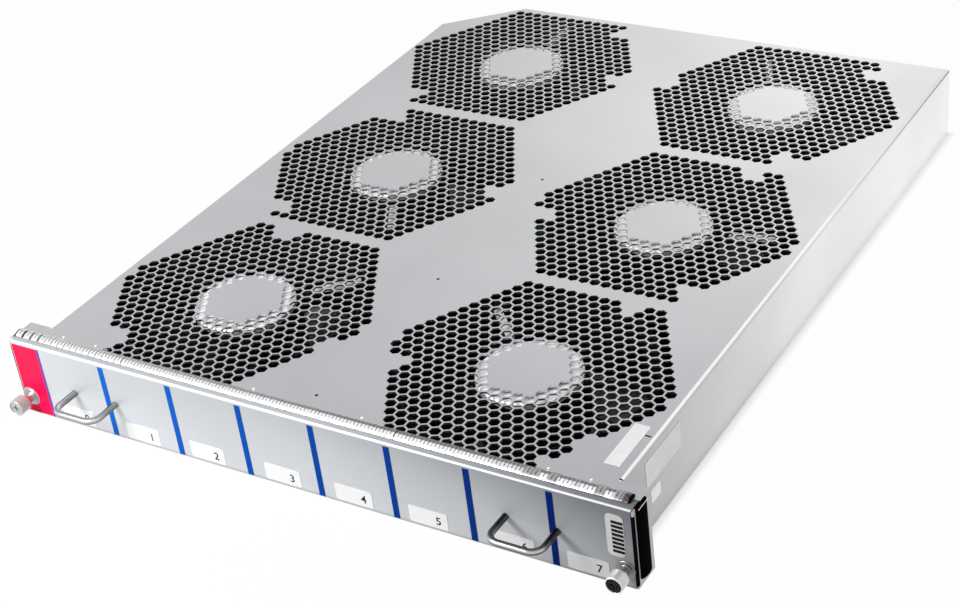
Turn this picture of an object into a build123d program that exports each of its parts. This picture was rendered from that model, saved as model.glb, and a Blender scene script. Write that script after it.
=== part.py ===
"""Fan tray for a rack chassis: six fans hung under a perforated cover, behind a labelled front panel.

Millimetres, +Z up. The origin is under the middle of the tray, on the plane that it stands on.
The front panel looks towards -Y, and left and right are as seen from the front.
"""

import os
from math import cos, hypot, pi, radians, sin, sqrt

from build123d import *

os.makedirs("parts", exist_ok=True)

# Body. Its width and depth follow from the fans and the clearances round them.
tray_height = 52.6
front_clearance = 5.5
middle_clearance = 15.2
side_clearance = 10.3
rear_clearance = 2.5
corner_cut_width = 50.0
corner_cut_depth = 46.0
cover_sheet = 1.2
pan_sheet = 1.2
pan_bend = 1.6

# Front panel, its tabs under the cover and the wings beside the body
wing_overhang = 14.5
panel_sheet = 1.5
panel_bend = 2.2
top_flange = 7.0
bottom_flange = 8.0
tab_reach = 18.5
tab_width = 16.0
tab_offset = 37.5
tab_insets = (41.2, 15.6)
bracket_sheet = 1.2
bracket_setback = 0.5
wing_depth = 19.4

# Contact finger strip on the top bend
strip_front = 2.6
strip_depth = 8.2
strip_rise = 2.0
strip_sheet = 0.4
strip_foot = 1.4
strip_crown = 2.4
finger_pitch = 14.25
finger_slit = 1.2
strip_starts = (0.0, 19.0, 84.0, 277.0)
strip_end_margin = 3.0
strip_joint_gap = 0.4

# Foam side gaskets
gasket_thickness = 2.0
gasket_depth = 12.0
gasket_height = 46.0
gasket_front = 3.5
gasket_bottom = 4.6
gasket_round = 0.9

# Handles
handle_rod = 4.0
handle_spacing = 31.75
handle_reach = 23.0
handle_bend = 7.0
handle_inset = 60.6
handle_height = 25.2

# Captive screws, measured forwards from the face unless said otherwise
screw_inset = 5.2
screw_height = 12.2
screw_travel = 3.6
shank_radius = 1.5
shank_clearance = 0.05
thread_radius = 2.0
thread_end = 24.0
thread_hole = 3.2
ferrule_flange_radius = 5.75
ferrule_flange = 1.0
ferrule_radius = 3.0
ferrule_tail = 0.5
knob_radius = 5.3
knob_front = 14.5
knob_length = 8.0
knob_wall = 1.2
knob_end = 1.5
drive_length = 5.0
drive_width = 1.1
drive_depth = 0.5
washer_sheet = 0.4
washer_clearance = 0.3
spring_wire = 0.6
spring_turns = 2.5
spring_tilt_allowance = 0.06
spring_spare_length = 0.45
press_gap = 0.02
running_gap = 0.05

# Round forms that repeat are many-sided prisms: so many sides on large, middling and small ones
large_sides = 16
middle_sides = 12
small_sides = 10
rod_sides = 8

# Fans: three rows in two columns, the ears of one row next to those of the other
row_count = 3
frame_radius = 77.0
frame_wall = 2.5
stud_offset = 4.0
ear_width = 13.0
ear_thickness = 3.0
ear_margin = 5.0
strut_width = 6.0
strut_gap = 0.3
strut_thickness = 3.0
seat_drop = 5.0
lead_width = 4.6
lead_height = 2.4
lead_inner = 43.0
lead_end_gap = 0.3
motor_radius = 31.5
motor_headroom = 1.0
stator_radius = 27.0
stator_length = 27.0
bearing_radius = 5.0
bearing_length = 12.0
bearing_bore_depth = 16.0
shaft_radius = 2.5
shaft_past_bearing = 2.0
cup_radius = 34.0
cup_wall = 3.0
cup_length = 30.0
cup_gap = 2.0
blade_count = 5
blade_sheet = 2.0
blade_tip_gap = 2.0
blade_root_chord = 28.0
blade_tip_chord = 46.0
blade_root_angle = 40.0
blade_root_bite = 2.55
blade_tip_angle = 58.0
intake_step = 3.0
stud_radius = 2.0
stud_clearance = 0.3
nut_radius = 3.6
nut_height = 3.2

# Hexagon holes over each fan
grille_overhang = 2.2
grille_web = 4.0
grille_rings = 3
hub_blank = 24.0
stud_land = 6.1

# Rib, control board and rear connector
rib_centre = 0.8
rib_width = 24.0
rib_drop = 12.0
rib_sheet = 1.2
rib_front = 12.0
rib_end_margin = 18.0
board_width = 26.0
board_length = 150.0
board_thickness = 1.6
board_front = 230.0
board_height = 7.2
board_end_margin = 8.0
standoff_radius = 2.5
header_width = 9.0
header_length = 38.0
header_pitch = 50.0
header_count = 3
header_height = 9.0
connector_width = 46.0
connector_height = 12.0
connector_depth = 16.0
connector_level = 18.0
connector_flange = 5.0
connector_flange_sheet = 3.0
connector_gap = 0.2
socket_margin = 3.0
socket_depth = 9.0

# Films and labels
film = 0.2
red_label_inset = 0.6
red_label_width = 19.6
red_label_bottom = 1.0
red_label_relief = 6.5
stripe_width = 4.0
stripe_bottom = 0.9
stripe_left_margin = 71.0
stripe_right_margin = 47.6
stripe_count = 7
edge_line_width = 1.6
slot_label_width = 25.2
slot_label_height = 11.3
slot_label_bottom = 2.1
slot_label_lags = (9.1, 9.9, 7.7, 11.6, 10.1, 8.9, 12.8, 7.3)
bar_label_inset = 15.0
bar_label_width = 10.5
bar_label_bottom = 19.5
bar_label_height = 27.9
bar_label_round = 3.0
cover_label_inset = 16.5
cover_label_width = 9.5
cover_label_front = 30.6
cover_label_length = 37.1
side_label_front = 45.0
side_label_length = 42.0
side_label_drop = 7.0
side_label_height = 16.5
side_tag_front = 49.0
side_tag_length = 11.0
side_tag_drop = 28.0
side_tag_height = 8.6

# Places that follow from the sizes. The tray's depth and the handles' reach share the origin's middle.
stud_circle = frame_radius + stud_offset
ear_reach = stud_circle + ear_margin
fan_offset = ear_reach + middle_clearance
first_row = ear_reach + front_clearance
row_pitch = 2 * ear_reach
tray_depth = front_clearance + row_count * row_pitch + rear_clearance
face_y = (handle_reach - tray_depth) / 2
rear_y = face_y + tray_depth
panel_back = face_y + panel_sheet
flange_back = face_y + top_flange
sill_back = face_y + bottom_flange
wing_back = face_y + wing_depth
cover_under = tray_height - cover_sheet
body_half = fan_offset + ear_reach + side_clearance
panel_half = body_half + wing_overhang
wing_half = panel_half + bracket_sheet
screw_offset = panel_half - screw_inset
handle_offset = panel_half - handle_inset
intake_radius = frame_radius - intake_step
ear_under = cover_under - ear_thickness
seat_top = cover_under - seat_drop
seat_under = seat_top - strut_thickness
frame_bore = frame_radius * cos(pi / large_sides) - frame_wall
frame_overlap = frame_wall / 2
strut_inner = stator_radius + strut_gap
lead_outer = frame_bore - lead_end_gap
stator_bottom = seat_top - stator_length
cup_top = seat_under - cup_gap
cup_bottom = cup_top - cup_length
grille_pitch = (frame_radius + grille_overhang) / grille_rings
hole_radius = (grille_pitch - grille_web) / sqrt(3)
rear_wall_inside = rear_y - pan_sheet
spring_front = knob_front - knob_end - running_gap - washer_sheet
spring_back = spring_front - screw_travel - spring_turns * spring_wire - spring_spare_length

# Each fan: number, side (-1 left, 1 right), row from the front, direction of the strut that carries the
# lead, and directions of its studs, all in degrees from +X
fans = (
    (1, -1, 0, 44, (107, 231, 342)),
    (2, 1, 0, 135, (71, 198, 322)),
    (3, -1, 1, 300, (122, 236, 358)),
    (4, 1, 1, 10, (70, 192, 307)),
    (5, -1, 2, 90, (53, 233, 358)),
    (6, 1, 2, 116, (50, 175, 299)),
)


def hub_place(side, row):
    """The middle of a fan, seen from above."""
    return side * fan_offset, face_y + first_row + row * row_pitch


def on_circle(radius, direction):
    """A point on a circle about a fan's own middle."""
    return radius * cos(radians(direction)), radius * sin(radians(direction))


def grille_holes(stud_directions):
    """Centres of the hexagon holes about a fan's own middle.

    Rows run along X in a hexagon with grille_rings rings. The two side tips stay unpunched, and so does
    every cell whose hole would reach over the motor's hub or too near a stud.
    """
    studs = [on_circle(stud_circle, direction) for direction in stud_directions]
    holes = []
    for row in range(-grille_rings, grille_rings + 1):
        last = 2 * grille_rings - abs(row)
        for step in range(-last, last + 1, 2):
            x = step * grille_pitch / 2
            y = row * grille_pitch * sqrt(3) / 2
            side_tip = row == 0 and abs(step) == last
            over_hub = hypot(x, y) < hole_radius + hub_blank
            near_stud = any(hypot(x - sx, y - sy) < hole_radius + stud_land for sx, sy in studs)
            if not (side_tip or over_hub or near_stud):
                holes.append((x, y))
    return holes


def face_plane(distance=0.0):
    """A plane that looks forwards, so far in front of the panel's face. Its x is X and its y is Z."""
    return Plane(origin=(0, face_y - distance, 0), x_dir=(1, 0, 0), z_dir=(0, -1, 0))


def screw_plane(side, distance):
    """A plane across a captive screw, so far in front of the panel's face. It looks forwards."""
    centre = (side * screw_offset, face_y - distance, screw_height)
    return Plane(origin=centre, x_dir=(1, 0, 0), z_dir=(0, -1, 0))


def body_outline(front, half_width):
    """The body seen from above, from its front edge to the rear wall with its cut corner."""
    return [
        (half_width, front),
        (half_width, rear_y),
        (corner_cut_width - half_width, rear_y),
        (-half_width, rear_y - corner_cut_depth),
        (-half_width, front),
    ]


def write(piece, name):
    """Labels a finished piece and writes it under its node's name."""
    piece.part.label = name
    export_step(piece.part, f"parts/{name}.step")


# Top cover: the perforated sheet, with wings over the panel's ends
with BuildPart() as top_cover:
    with BuildSketch(Plane.XY.offset(cover_under)):
        with BuildLine():
            Polyline(*body_outline(flange_back, body_half), close=True)
        make_face()
        with Locations((0, (flange_back + wing_back) / 2)):
            Rectangle(2 * wing_half, wing_back - flange_back)
        for number, side, row, lead, stud_directions in fans:
            hub_x, hub_y = hub_place(side, row)
            with Locations(*[(hub_x + x, hub_y + y) for x, y in grille_holes(stud_directions)]):
                RegularPolygon(hole_radius, 6, rotation=30, mode=Mode.SUBTRACT)
    extrude(amount=cover_sheet)
write(top_cover, "top_cover")

# Body pan: floor, side walls, cut corner and rear wall in one sheet
with BuildPart() as body_pan:
    with BuildSketch():
        with BuildLine():
            Polyline(*body_outline(sill_back, body_half), close=True)
        make_face()
    extrude(amount=cover_under)
    fillet(body_pan.faces().sort_by(Axis.Z)[0].edges().sort_by(Axis.Y)[1:], radius=pan_bend)
    with BuildSketch(Plane.XY.offset(pan_sheet)):
        with BuildLine():
            Polyline(*body_outline(sill_back, body_half), close=True)
        make_face()
        offset(amount=-pan_sheet, kind=Kind.INTERSECTION)
        with Locations((0, sill_back)):
            Rectangle(2 * (body_half - pan_sheet), 2 * pan_sheet)
    extrude(amount=cover_under, mode=Mode.SUBTRACT)
    with BuildSketch():
        with Locations(*[hub_place(side, row) for number, side, row, lead, studs in fans]):
            RegularPolygon(intake_radius, large_sides)
    extrude(amount=pan_sheet, mode=Mode.SUBTRACT)
    with BuildSketch(Plane.XZ.offset(-rear_y)):
        with Locations((0, connector_level + connector_height / 2)):
            Rectangle(connector_width + 2 * connector_gap, connector_height + 2 * connector_gap)
    extrude(amount=pan_sheet, mode=Mode.SUBTRACT)
write(body_pan, "body_pan")

# Front panel: face, top and bottom flanges, and stepped tabs under the cover
with BuildPart() as front_panel:
    with BuildSketch(Plane.YZ.offset(-panel_half)):
        with BuildLine():
            Polyline(
                (face_y, 0),
                (face_y, tray_height),
                (flange_back, tray_height),
                (flange_back, tray_height - panel_sheet),
                (panel_back, tray_height - panel_sheet),
                (panel_back, panel_sheet),
                (sill_back, panel_sheet),
                (sill_back, 0),
                close=True,
            )
        profile = make_face()
        outer_bends = profile.vertices().group_by(Axis.X)[0]
        inner_bends = profile.vertices().group_by(Axis.X)[1]
        fillet(outer_bends, radius=panel_bend)
        fillet(inner_bends, radius=panel_bend - panel_sheet)
    extrude(amount=2 * panel_half)
    tab_offsets = [tab_offset] + [body_half - inset for inset in tab_insets]
    tab_middles = [side * offset_x for offset_x in tab_offsets for side in (-1, 1)]
    with BuildSketch(Plane.XY.offset(cover_under - panel_sheet)):
        tab_length = tab_reach - top_flange + panel_sheet
        with Locations(*[(x, face_y + tab_reach - tab_length / 2) for x in tab_middles]):
            Rectangle(tab_width, tab_length)
    extrude(amount=panel_sheet)
    with BuildSketch(Plane.XY.offset(cover_under - panel_sheet)):
        with Locations(*[(x, flange_back - panel_sheet / 2) for x in tab_middles]):
            Rectangle(tab_width, panel_sheet)
    extrude(amount=panel_sheet + cover_sheet)
    with BuildSketch(face_plane()):
        with Locations((-screw_offset, screw_height), (screw_offset, screw_height)):
            RegularPolygon(ferrule_radius + press_gap, small_sides)
    extrude(amount=-panel_sheet, mode=Mode.SUBTRACT)
write(front_panel, "front_panel")

# Wing brackets: a channel between the body and the panel's end
for side_name, side in (("left", -1), ("right", 1)):
    with BuildPart() as wing_bracket:
        with BuildSketch():
            with BuildLine():
                Polyline(
                    (side * body_half, sill_back),
                    (side * body_half, wing_back),
                    (side * wing_half, wing_back),
                    (side * wing_half, face_y + bracket_setback),
                    (side * panel_half, face_y + bracket_setback),
                    (side * panel_half, wing_back - bracket_sheet),
                    (side * (body_half + bracket_sheet), wing_back - bracket_sheet),
                    (side * (body_half + bracket_sheet), sill_back),
                    close=True,
                )
            make_face()
        extrude(amount=cover_under)
        with BuildSketch(face_plane(-wing_depth)):
            with Locations((side * screw_offset, screw_height)):
                RegularPolygon(thread_hole, small_sides, major_radius=False)
        extrude(amount=bracket_sheet, mode=Mode.SUBTRACT)
    write(wing_bracket, f"wing_bracket_{side_name}")

# Finger strip: a foot on the top flange, and sprung fingers arched over the joint to the cover
strip_ends = [*strip_starts[1:], 2 * panel_half - strip_end_margin]
for number, (strip_left, strip_right) in enumerate(zip(strip_starts, strip_ends), start=1):
    strip_start = strip_left - panel_half
    strip_length = strip_right - strip_left - strip_joint_gap
    crown_start = (strip_depth - strip_crown) / 2 + strip_foot / 2
    arch = (
        (0, 0),
        (strip_foot, 0),
        (crown_start, strip_rise),
        (crown_start + strip_crown, strip_rise),
        (strip_depth, 0),
    )
    with BuildPart() as finger_strip:
        with BuildSketch(Plane.YZ.offset(strip_start)):
            lower = [(face_y + strip_front + y, tray_height + z) for y, z in arch]
            upper = [(y, z + strip_sheet) for y, z in reversed(lower)]
            with BuildLine():
                Polyline(*lower, *upper, close=True)
            make_face()
        extrude(amount=strip_length)
        with BuildSketch(Plane.XY.offset(tray_height)):
            slits = int((strip_length - finger_slit) // finger_pitch)
            slit_depth = strip_depth - strip_foot
            slit_y = face_y + strip_front + strip_foot + slit_depth / 2
            with Locations(*[(strip_start + finger_pitch * (n + 1), slit_y) for n in range(slits)]):
                Rectangle(finger_slit, slit_depth)
        extrude(amount=strip_rise + 2 * strip_sheet, mode=Mode.SUBTRACT)
    write(finger_strip, f"finger_strip_{number}")

# Foam side gaskets
for side_name, side in (("left", -1), ("right", 1)):
    with BuildPart() as side_gasket:
        with BuildSketch(Plane.XY.offset(gasket_bottom)):
            with Locations((side * (wing_half + gasket_thickness / 2), face_y + gasket_front + gasket_depth / 2)):
                Rectangle(gasket_thickness, gasket_depth)
        extrude(amount=gasket_height)
        outer_face = side_gasket.faces().sort_by(Axis.X)[0 if side < 0 else -1]
        chamfer(outer_face.edges().filter_by(Axis.Z), length=gasket_round)
    write(side_gasket, f"side_gasket_{side_name}")

# Handles: one bent rod each, welded to the face
for side_name, side in (("left", -1), ("right", 1)):
    with BuildPart() as handle:
        bar_y = face_y - handle_reach + handle_rod / 2
        near = side * handle_offset - handle_spacing / 2
        far = side * handle_offset + handle_spacing / 2
        with BuildLine(Plane.XY.offset(handle_height)) as bent_rod:
            FilletPolyline((near, face_y), (near, bar_y), (far, bar_y), (far, face_y), radius=handle_bend)
        with BuildSketch(Plane(origin=bent_rod.line @ 0, z_dir=bent_rod.line % 0)):
            RegularPolygon(handle_rod / 2, rod_sides)
        sweep()
    write(handle, f"handle_{side_name}")

# Captive screws: ferrule pressed in the panel, spring, thrust washer, screw and knob
for side_name, side in (("left", -1), ("right", 1)):
    ferrule_back = -panel_sheet - ferrule_tail
    with BuildPart() as screw_ferrule:
        with BuildSketch(screw_plane(side, ferrule_back)):
            RegularPolygon(ferrule_radius, small_sides)
        extrude(amount=spring_back - ferrule_back)
        with BuildSketch(screw_plane(side, 0)):
            RegularPolygon(ferrule_flange_radius, large_sides)
        extrude(amount=ferrule_flange)
        with BuildSketch(screw_plane(side, ferrule_back)):
            RegularPolygon(shank_radius + shank_clearance, small_sides, major_radius=False)
        extrude(amount=spring_back - ferrule_back, mode=Mode.SUBTRACT)
    write(screw_ferrule, f"screw_ferrule_{side_name}")

    knob_floor = knob_front - knob_end
    with BuildPart() as screw_knob:
        with BuildSketch(screw_plane(side, knob_front - knob_length)):
            RegularPolygon(knob_radius, large_sides)
        extrude(amount=knob_length)
        with BuildSketch(screw_plane(side, knob_front - knob_length)):
            RegularPolygon(knob_radius - knob_wall, small_sides)
        extrude(amount=knob_length - knob_end, mode=Mode.SUBTRACT)
        with BuildSketch(screw_plane(side, knob_front)):
            Rectangle(drive_length, drive_width)
            Rectangle(drive_width, drive_length)
        extrude(amount=-drive_depth, mode=Mode.SUBTRACT)
    write(screw_knob, f"screw_knob_{side_name}")

    thread_start = ferrule_back - running_gap
    with BuildPart() as captive_screw:
        with BuildSketch(screw_plane(side, thread_start)):
            RegularPolygon(shank_radius, small_sides)
        extrude(amount=knob_floor - thread_start)
        with BuildSketch(screw_plane(side, -thread_end)):
            Circle(thread_radius)
        extrude(amount=thread_end + thread_start)
    write(captive_screw, f"captive_screw_{side_name}")

    with BuildPart() as thrust_washer:
        with BuildSketch(screw_plane(side, spring_front)):
            RegularPolygon(knob_radius - knob_wall - washer_clearance, small_sides)
            RegularPolygon(shank_radius + running_gap, small_sides, major_radius=False, mode=Mode.SUBTRACT)
        extrude(amount=washer_sheet)
    write(thrust_washer, f"thrust_washer_{side_name}")

    coil_radius = ferrule_radius - spring_wire
    coil_end = spring_wire / 2 + spring_tilt_allowance
    coil_height = spring_front - spring_back - 2 * coil_end
    coil_steps = int(spring_turns * rod_sides)
    coil_points = []
    for step in range(coil_steps + 1):
        turned = 2 * pi * step / rod_sides
        coil_points.append(
            (
                side * screw_offset + coil_radius * cos(turned),
                face_y - spring_front + coil_end + coil_height * step / coil_steps,
                screw_height + coil_radius * sin(turned),
            )
        )
    with BuildPart() as screw_spring:
        with BuildLine() as coil:
            Polyline(*coil_points)
        with BuildSketch(Plane(origin=coil.line @ 0, x_dir=(0, 1, 0), z_dir=coil.line % 0)):
            Rectangle(spring_wire, spring_wire)
        sweep(transition=Transition.RIGHT)
    write(screw_spring, f"screw_spring_{side_name}")

# Fans: frame, motor, bearing and rotor, hung from the cover by studs
with BuildPart() as motor_form:
    with BuildSketch(Plane.XY.offset(seat_top)):
        RegularPolygon(motor_radius, large_sides)
    extrude(amount=seat_drop - motor_headroom)
    with BuildSketch(Plane.XY.offset(stator_bottom)):
        RegularPolygon(stator_radius, middle_sides)
    extrude(amount=stator_length)
    with BuildSketch(Plane.XY.offset(stator_bottom)):
        RegularPolygon(bearing_radius + press_gap, rod_sides)
    extrude(amount=bearing_bore_depth, mode=Mode.SUBTRACT)

root_radius = cup_radius - blade_root_bite
tip_radius = frame_bore - blade_tip_gap
blade_middle = (cup_top + cup_bottom) / 2
with BuildPart() as blade_form:
    with BuildSketch(Plane(origin=(root_radius, 0, blade_middle), x_dir=(0, 1, 0), z_dir=(1, 0, 0))):
        Rectangle(blade_sheet, blade_root_chord, rotation=blade_root_angle)
    with BuildSketch(Plane(origin=(frame_bore, 0, blade_middle), x_dir=(0, 1, 0), z_dir=(1, 0, 0))):
        Rectangle(blade_sheet, blade_tip_chord, rotation=blade_tip_angle)
    loft(ruled=True)
    with BuildSketch():
        Circle(tip_radius)
    extrude(amount=tray_height, mode=Mode.INTERSECT)

with BuildPart() as rotor_form:
    with BuildSketch(Plane.XY.offset(cup_bottom)):
        RegularPolygon(cup_radius, large_sides)
    extrude(amount=cup_length)
    with PolarLocations(0, blade_count):
        add(blade_form.part)
    with BuildSketch(Plane.XY.offset(cup_bottom + cup_wall)):
        RegularPolygon(cup_radius - cup_wall, middle_sides)
    extrude(amount=cup_length, mode=Mode.SUBTRACT)
    with BuildSketch(Plane.XY.offset(cup_bottom)):
        RegularPolygon(shaft_radius, rod_sides)
    extrude(amount=stator_bottom + bearing_length + shaft_past_bearing - cup_bottom)

for number, side, row, lead, stud_directions in fans:
    hub_x, hub_y = hub_place(side, row)
    hub = Location((hub_x, hub_y, 0))

    with BuildPart(Plane(hub)) as fan_frame:
        with BuildSketch(Plane(hub).offset(ear_under)):
            for direction in stud_directions:
                with Locations(Location((0, 0, 0), (0, 0, direction))):
                    with Locations(((frame_bore + ear_reach) / 2, 0)):
                        Rectangle(ear_reach - frame_bore, ear_width)
                    with Locations(((stud_circle - stud_radius - stud_clearance + ear_reach) / 2, 0)):
                        Rectangle(
                            ear_reach - stud_circle + stud_radius + stud_clearance,
                            2 * (stud_radius + stud_clearance),
                            mode=Mode.SUBTRACT,
                        )
        extrude(amount=ear_thickness)
        with BuildSketch(Plane(hub).offset(pan_sheet)):
            RegularPolygon(frame_radius, large_sides)
        extrude(amount=cover_under - pan_sheet)
        with BuildSketch(Plane(hub).offset(pan_sheet)):
            RegularPolygon(frame_bore, large_sides, major_radius=False)
        extrude(amount=cover_under - pan_sheet, mode=Mode.SUBTRACT)
        with BuildSketch(Plane(hub).offset(seat_under)):
            with PolarLocations((strut_inner + frame_bore + frame_overlap) / 2, 3, start_angle=lead):
                Rectangle(frame_bore + frame_overlap - strut_inner, strut_width)
        extrude(amount=strut_thickness)
    write(fan_frame, f"fan_frame_{number}")

    with BuildPart() as fan_motor:
        with Locations(hub):
            add(motor_form.part)
    write(fan_motor, f"fan_motor_{number}")

    with BuildPart() as fan_rotor:
        with Locations(hub):
            add(rotor_form.part)
    write(fan_rotor, f"fan_rotor_{number}")

with BuildPart() as fan_bearings:
    with BuildSketch(Plane.XY.offset(stator_bottom)):
        with Locations(*[hub_place(side, row) for number, side, row, lead, studs in fans]):
            RegularPolygon(bearing_radius, rod_sides)
            RegularPolygon(shaft_radius + running_gap, rod_sides, major_radius=False, mode=Mode.SUBTRACT)
    extrude(amount=bearing_length)
write(fan_bearings, "fan_bearings")

# Bright lead channels, clipped on the struts that carry the motor leads
with BuildPart() as lead_channels:
    for number, side, row, lead, stud_directions in fans:
        hub_x, hub_y = hub_place(side, row)
        with BuildSketch(Plane(Location((hub_x, hub_y, seat_top), (0, 0, lead)))):
            with Locations(((lead_inner + lead_outer) / 2, 0)):
                Rectangle(lead_outer - lead_inner, lead_width)
        extrude(amount=lead_height)
write(lead_channels, "lead_channels")

# Studs: each square stud reaches down from the cover through the slot of an ear, and has its nut below
with BuildPart() as fan_studs:
    stud_places = []
    for number, side, row, lead, stud_directions in fans:
        hub_x, hub_y = hub_place(side, row)
        for direction in stud_directions:
            x, y = on_circle(stud_circle, direction)
            stud_places.append((hub_x + x, hub_y + y))
    stud_bottom = ear_under - nut_height
    with BuildSketch(Plane.XY.offset(stud_bottom)):
        with Locations(*stud_places):
            RegularPolygon(stud_radius, 4)
    extrude(amount=cover_under - stud_bottom)
    with BuildSketch(Plane.XY.offset(stud_bottom)):
        with Locations(*stud_places):
            RegularPolygon(nut_radius, 4)
    extrude(amount=nut_height)
write(fan_studs, "fan_studs")

# Rib under the middle of the cover
rib_back = tray_depth - rib_end_margin
with BuildPart() as cover_rib:
    with BuildSketch(Plane.XZ.offset(-(face_y + rib_back))):
        with Locations((rib_centre, cover_under - rib_drop / 2)):
            Rectangle(rib_width, rib_drop)
        with Locations((rib_centre, cover_under - rib_sheet - rib_drop / 2)):
            Rectangle(rib_width - 2 * rib_sheet, rib_drop, mode=Mode.SUBTRACT)
    extrude(amount=rib_back - rib_front)
write(cover_rib, "cover_rib")

# Control board between the fan columns, on standoffs
board_middle = face_y + board_front + board_length / 2
with BuildPart() as control_board:
    with BuildSketch(Plane.XY.offset(board_height)):
        with Locations((0, board_middle)):
            Rectangle(board_width, board_length)
    extrude(amount=board_thickness)
    with BuildSketch(Plane.XY.offset(board_height + board_thickness)):
        with Locations((0, board_middle)):
            with GridLocations(0, header_pitch, 1, header_count):
                Rectangle(header_width, header_length)
    extrude(amount=header_height)
write(control_board, "control_board")

with BuildPart() as board_standoffs:
    with BuildSketch(Plane.XY.offset(pan_sheet)):
        with Locations((0, board_middle)):
            with GridLocations(0, board_length - 2 * board_end_margin, 1, 2):
                RegularPolygon(standoff_radius, 6)
    extrude(amount=board_height - pan_sheet)
write(board_standoffs, "board_standoffs")

# Rear connector: a housing through the rear wall, with a flange behind it and an open socket
with BuildPart() as rear_connector:
    connector_middle = (0, connector_level + connector_height / 2)
    with BuildSketch(Plane.XZ.offset(-rear_y)):
        with Locations(connector_middle):
            Rectangle(connector_width, connector_height)
    extrude(amount=connector_depth)
    with BuildSketch(Plane.XZ.offset(-rear_wall_inside)):
        with Locations(connector_middle):
            Rectangle(connector_width + 2 * connector_flange, connector_height + 2 * connector_flange)
    extrude(amount=connector_flange_sheet)
    with BuildSketch(Plane.XZ.offset(-rear_y)):
        with Locations(connector_middle):
            Rectangle(connector_width - 2 * socket_margin, connector_height - 2 * socket_margin)
    extrude(amount=socket_depth, mode=Mode.SUBTRACT)
write(rear_connector, "rear_connector")

# Films on the face. None of them climbs the top bend.
film_top = tray_height - panel_bend
red_label_left = red_label_inset - panel_half
red_label_right = red_label_left + red_label_width
stripe_pitch = (2 * panel_half - stripe_left_margin - stripe_right_margin) / (stripe_count - 1)
stripe_places = [stripe_left_margin - panel_half + stripe_pitch * n for n in range(stripe_count)]
with BuildPart() as red_label:
    with BuildSketch(face_plane()):
        with Locations((red_label_left, red_label_bottom)):
            Rectangle(red_label_width, film_top - red_label_bottom, align=(Align.MIN, Align.MIN))
        with Locations((-screw_offset, screw_height)):
            RegularPolygon(red_label_relief, large_sides, mode=Mode.SUBTRACT)
    extrude(amount=film)
write(red_label, "red_label")

with BuildPart() as slot_stripes:
    with BuildSketch(face_plane()):
        stripe_height = film_top - stripe_bottom
        with Locations((red_label_right, stripe_bottom)):
            Rectangle(edge_line_width, stripe_height, align=(Align.MIN, Align.MIN))
        with Locations(*[(x, stripe_bottom) for x in stripe_places]):
            Rectangle(stripe_width, stripe_height, align=(Align.CENTER, Align.MIN))
        for side in (-1, 1):
            with Locations((side * handle_offset, handle_height)):
                with GridLocations(handle_spacing, 0, 2, 1):
                    RegularPolygon(handle_rod / 2 + film, rod_sides, mode=Mode.SUBTRACT)
    extrude(amount=film)
write(slot_stripes, "slot_stripes")

# Each slot label follows the line or stripe on its left, stuck on by hand at its own distance
with BuildPart() as slot_labels:
    with BuildSketch(face_plane()):
        slot_starts = [red_label_right + edge_line_width / 2, *stripe_places]
        slot_label_lefts = [start + lag for start, lag in zip(slot_starts, slot_label_lags)]
        with Locations(*[(left, slot_label_bottom) for left in slot_label_lefts]):
            Rectangle(slot_label_width, slot_label_height, align=(Align.MIN, Align.MIN))
    extrude(amount=film)
write(slot_labels, "slot_labels")

with BuildPart() as bar_label:
    with BuildSketch(face_plane()) as bar_outline:
        bar_label_middle = panel_half - bar_label_inset + bar_label_width / 2
        with Locations((bar_label_middle, bar_label_bottom + bar_label_height / 2)):
            Rectangle(bar_label_width, bar_label_height)
            chamfer(bar_outline.vertices(), length=bar_label_round)
    extrude(amount=film)
write(bar_label, "bar_label")

# Labels on the cover and on the right wall
with BuildPart() as cover_label:
    with BuildSketch(Plane.XY.offset(tray_height)):
        with Locations((body_half - cover_label_inset, face_y + cover_label_front)):
            Rectangle(cover_label_width, cover_label_length, align=(Align.MIN, Align.MIN))
    extrude(amount=film)
write(cover_label, "cover_label")

with BuildPart() as side_label:
    with BuildSketch(Plane.YZ.offset(body_half)):
        with Locations((face_y + side_label_front, tray_height - side_label_drop)):
            Rectangle(side_label_length, side_label_height, align=(Align.MIN, Align.MAX))
    extrude(amount=film)
write(side_label, "side_label")

with BuildPart() as side_tag:
    with BuildSketch(Plane.YZ.offset(body_half)):
        with Locations((face_y + side_tag_front, tray_height - side_tag_drop)):
            Rectangle(side_tag_length, side_tag_height, align=(Align.MIN, Align.MAX))
    extrude(amount=film)
write(side_tag, "side_tag")
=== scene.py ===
"""Fan tray, dressed: honeycomb cover, folded pan, panel, labels, spring strips, handles, screws and fans.

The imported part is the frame, and every piece is set on it, in metres, +Z up, front towards -Y.
"""

from math import cos, pi, radians, sin, sqrt

import bmesh
import bpy
import numpy as np
from bpy.props import FloatProperty, FloatVectorProperty, IntProperty, PointerProperty
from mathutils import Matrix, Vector
from mathutils.geometry import delaunay_2d_cdt


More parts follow.
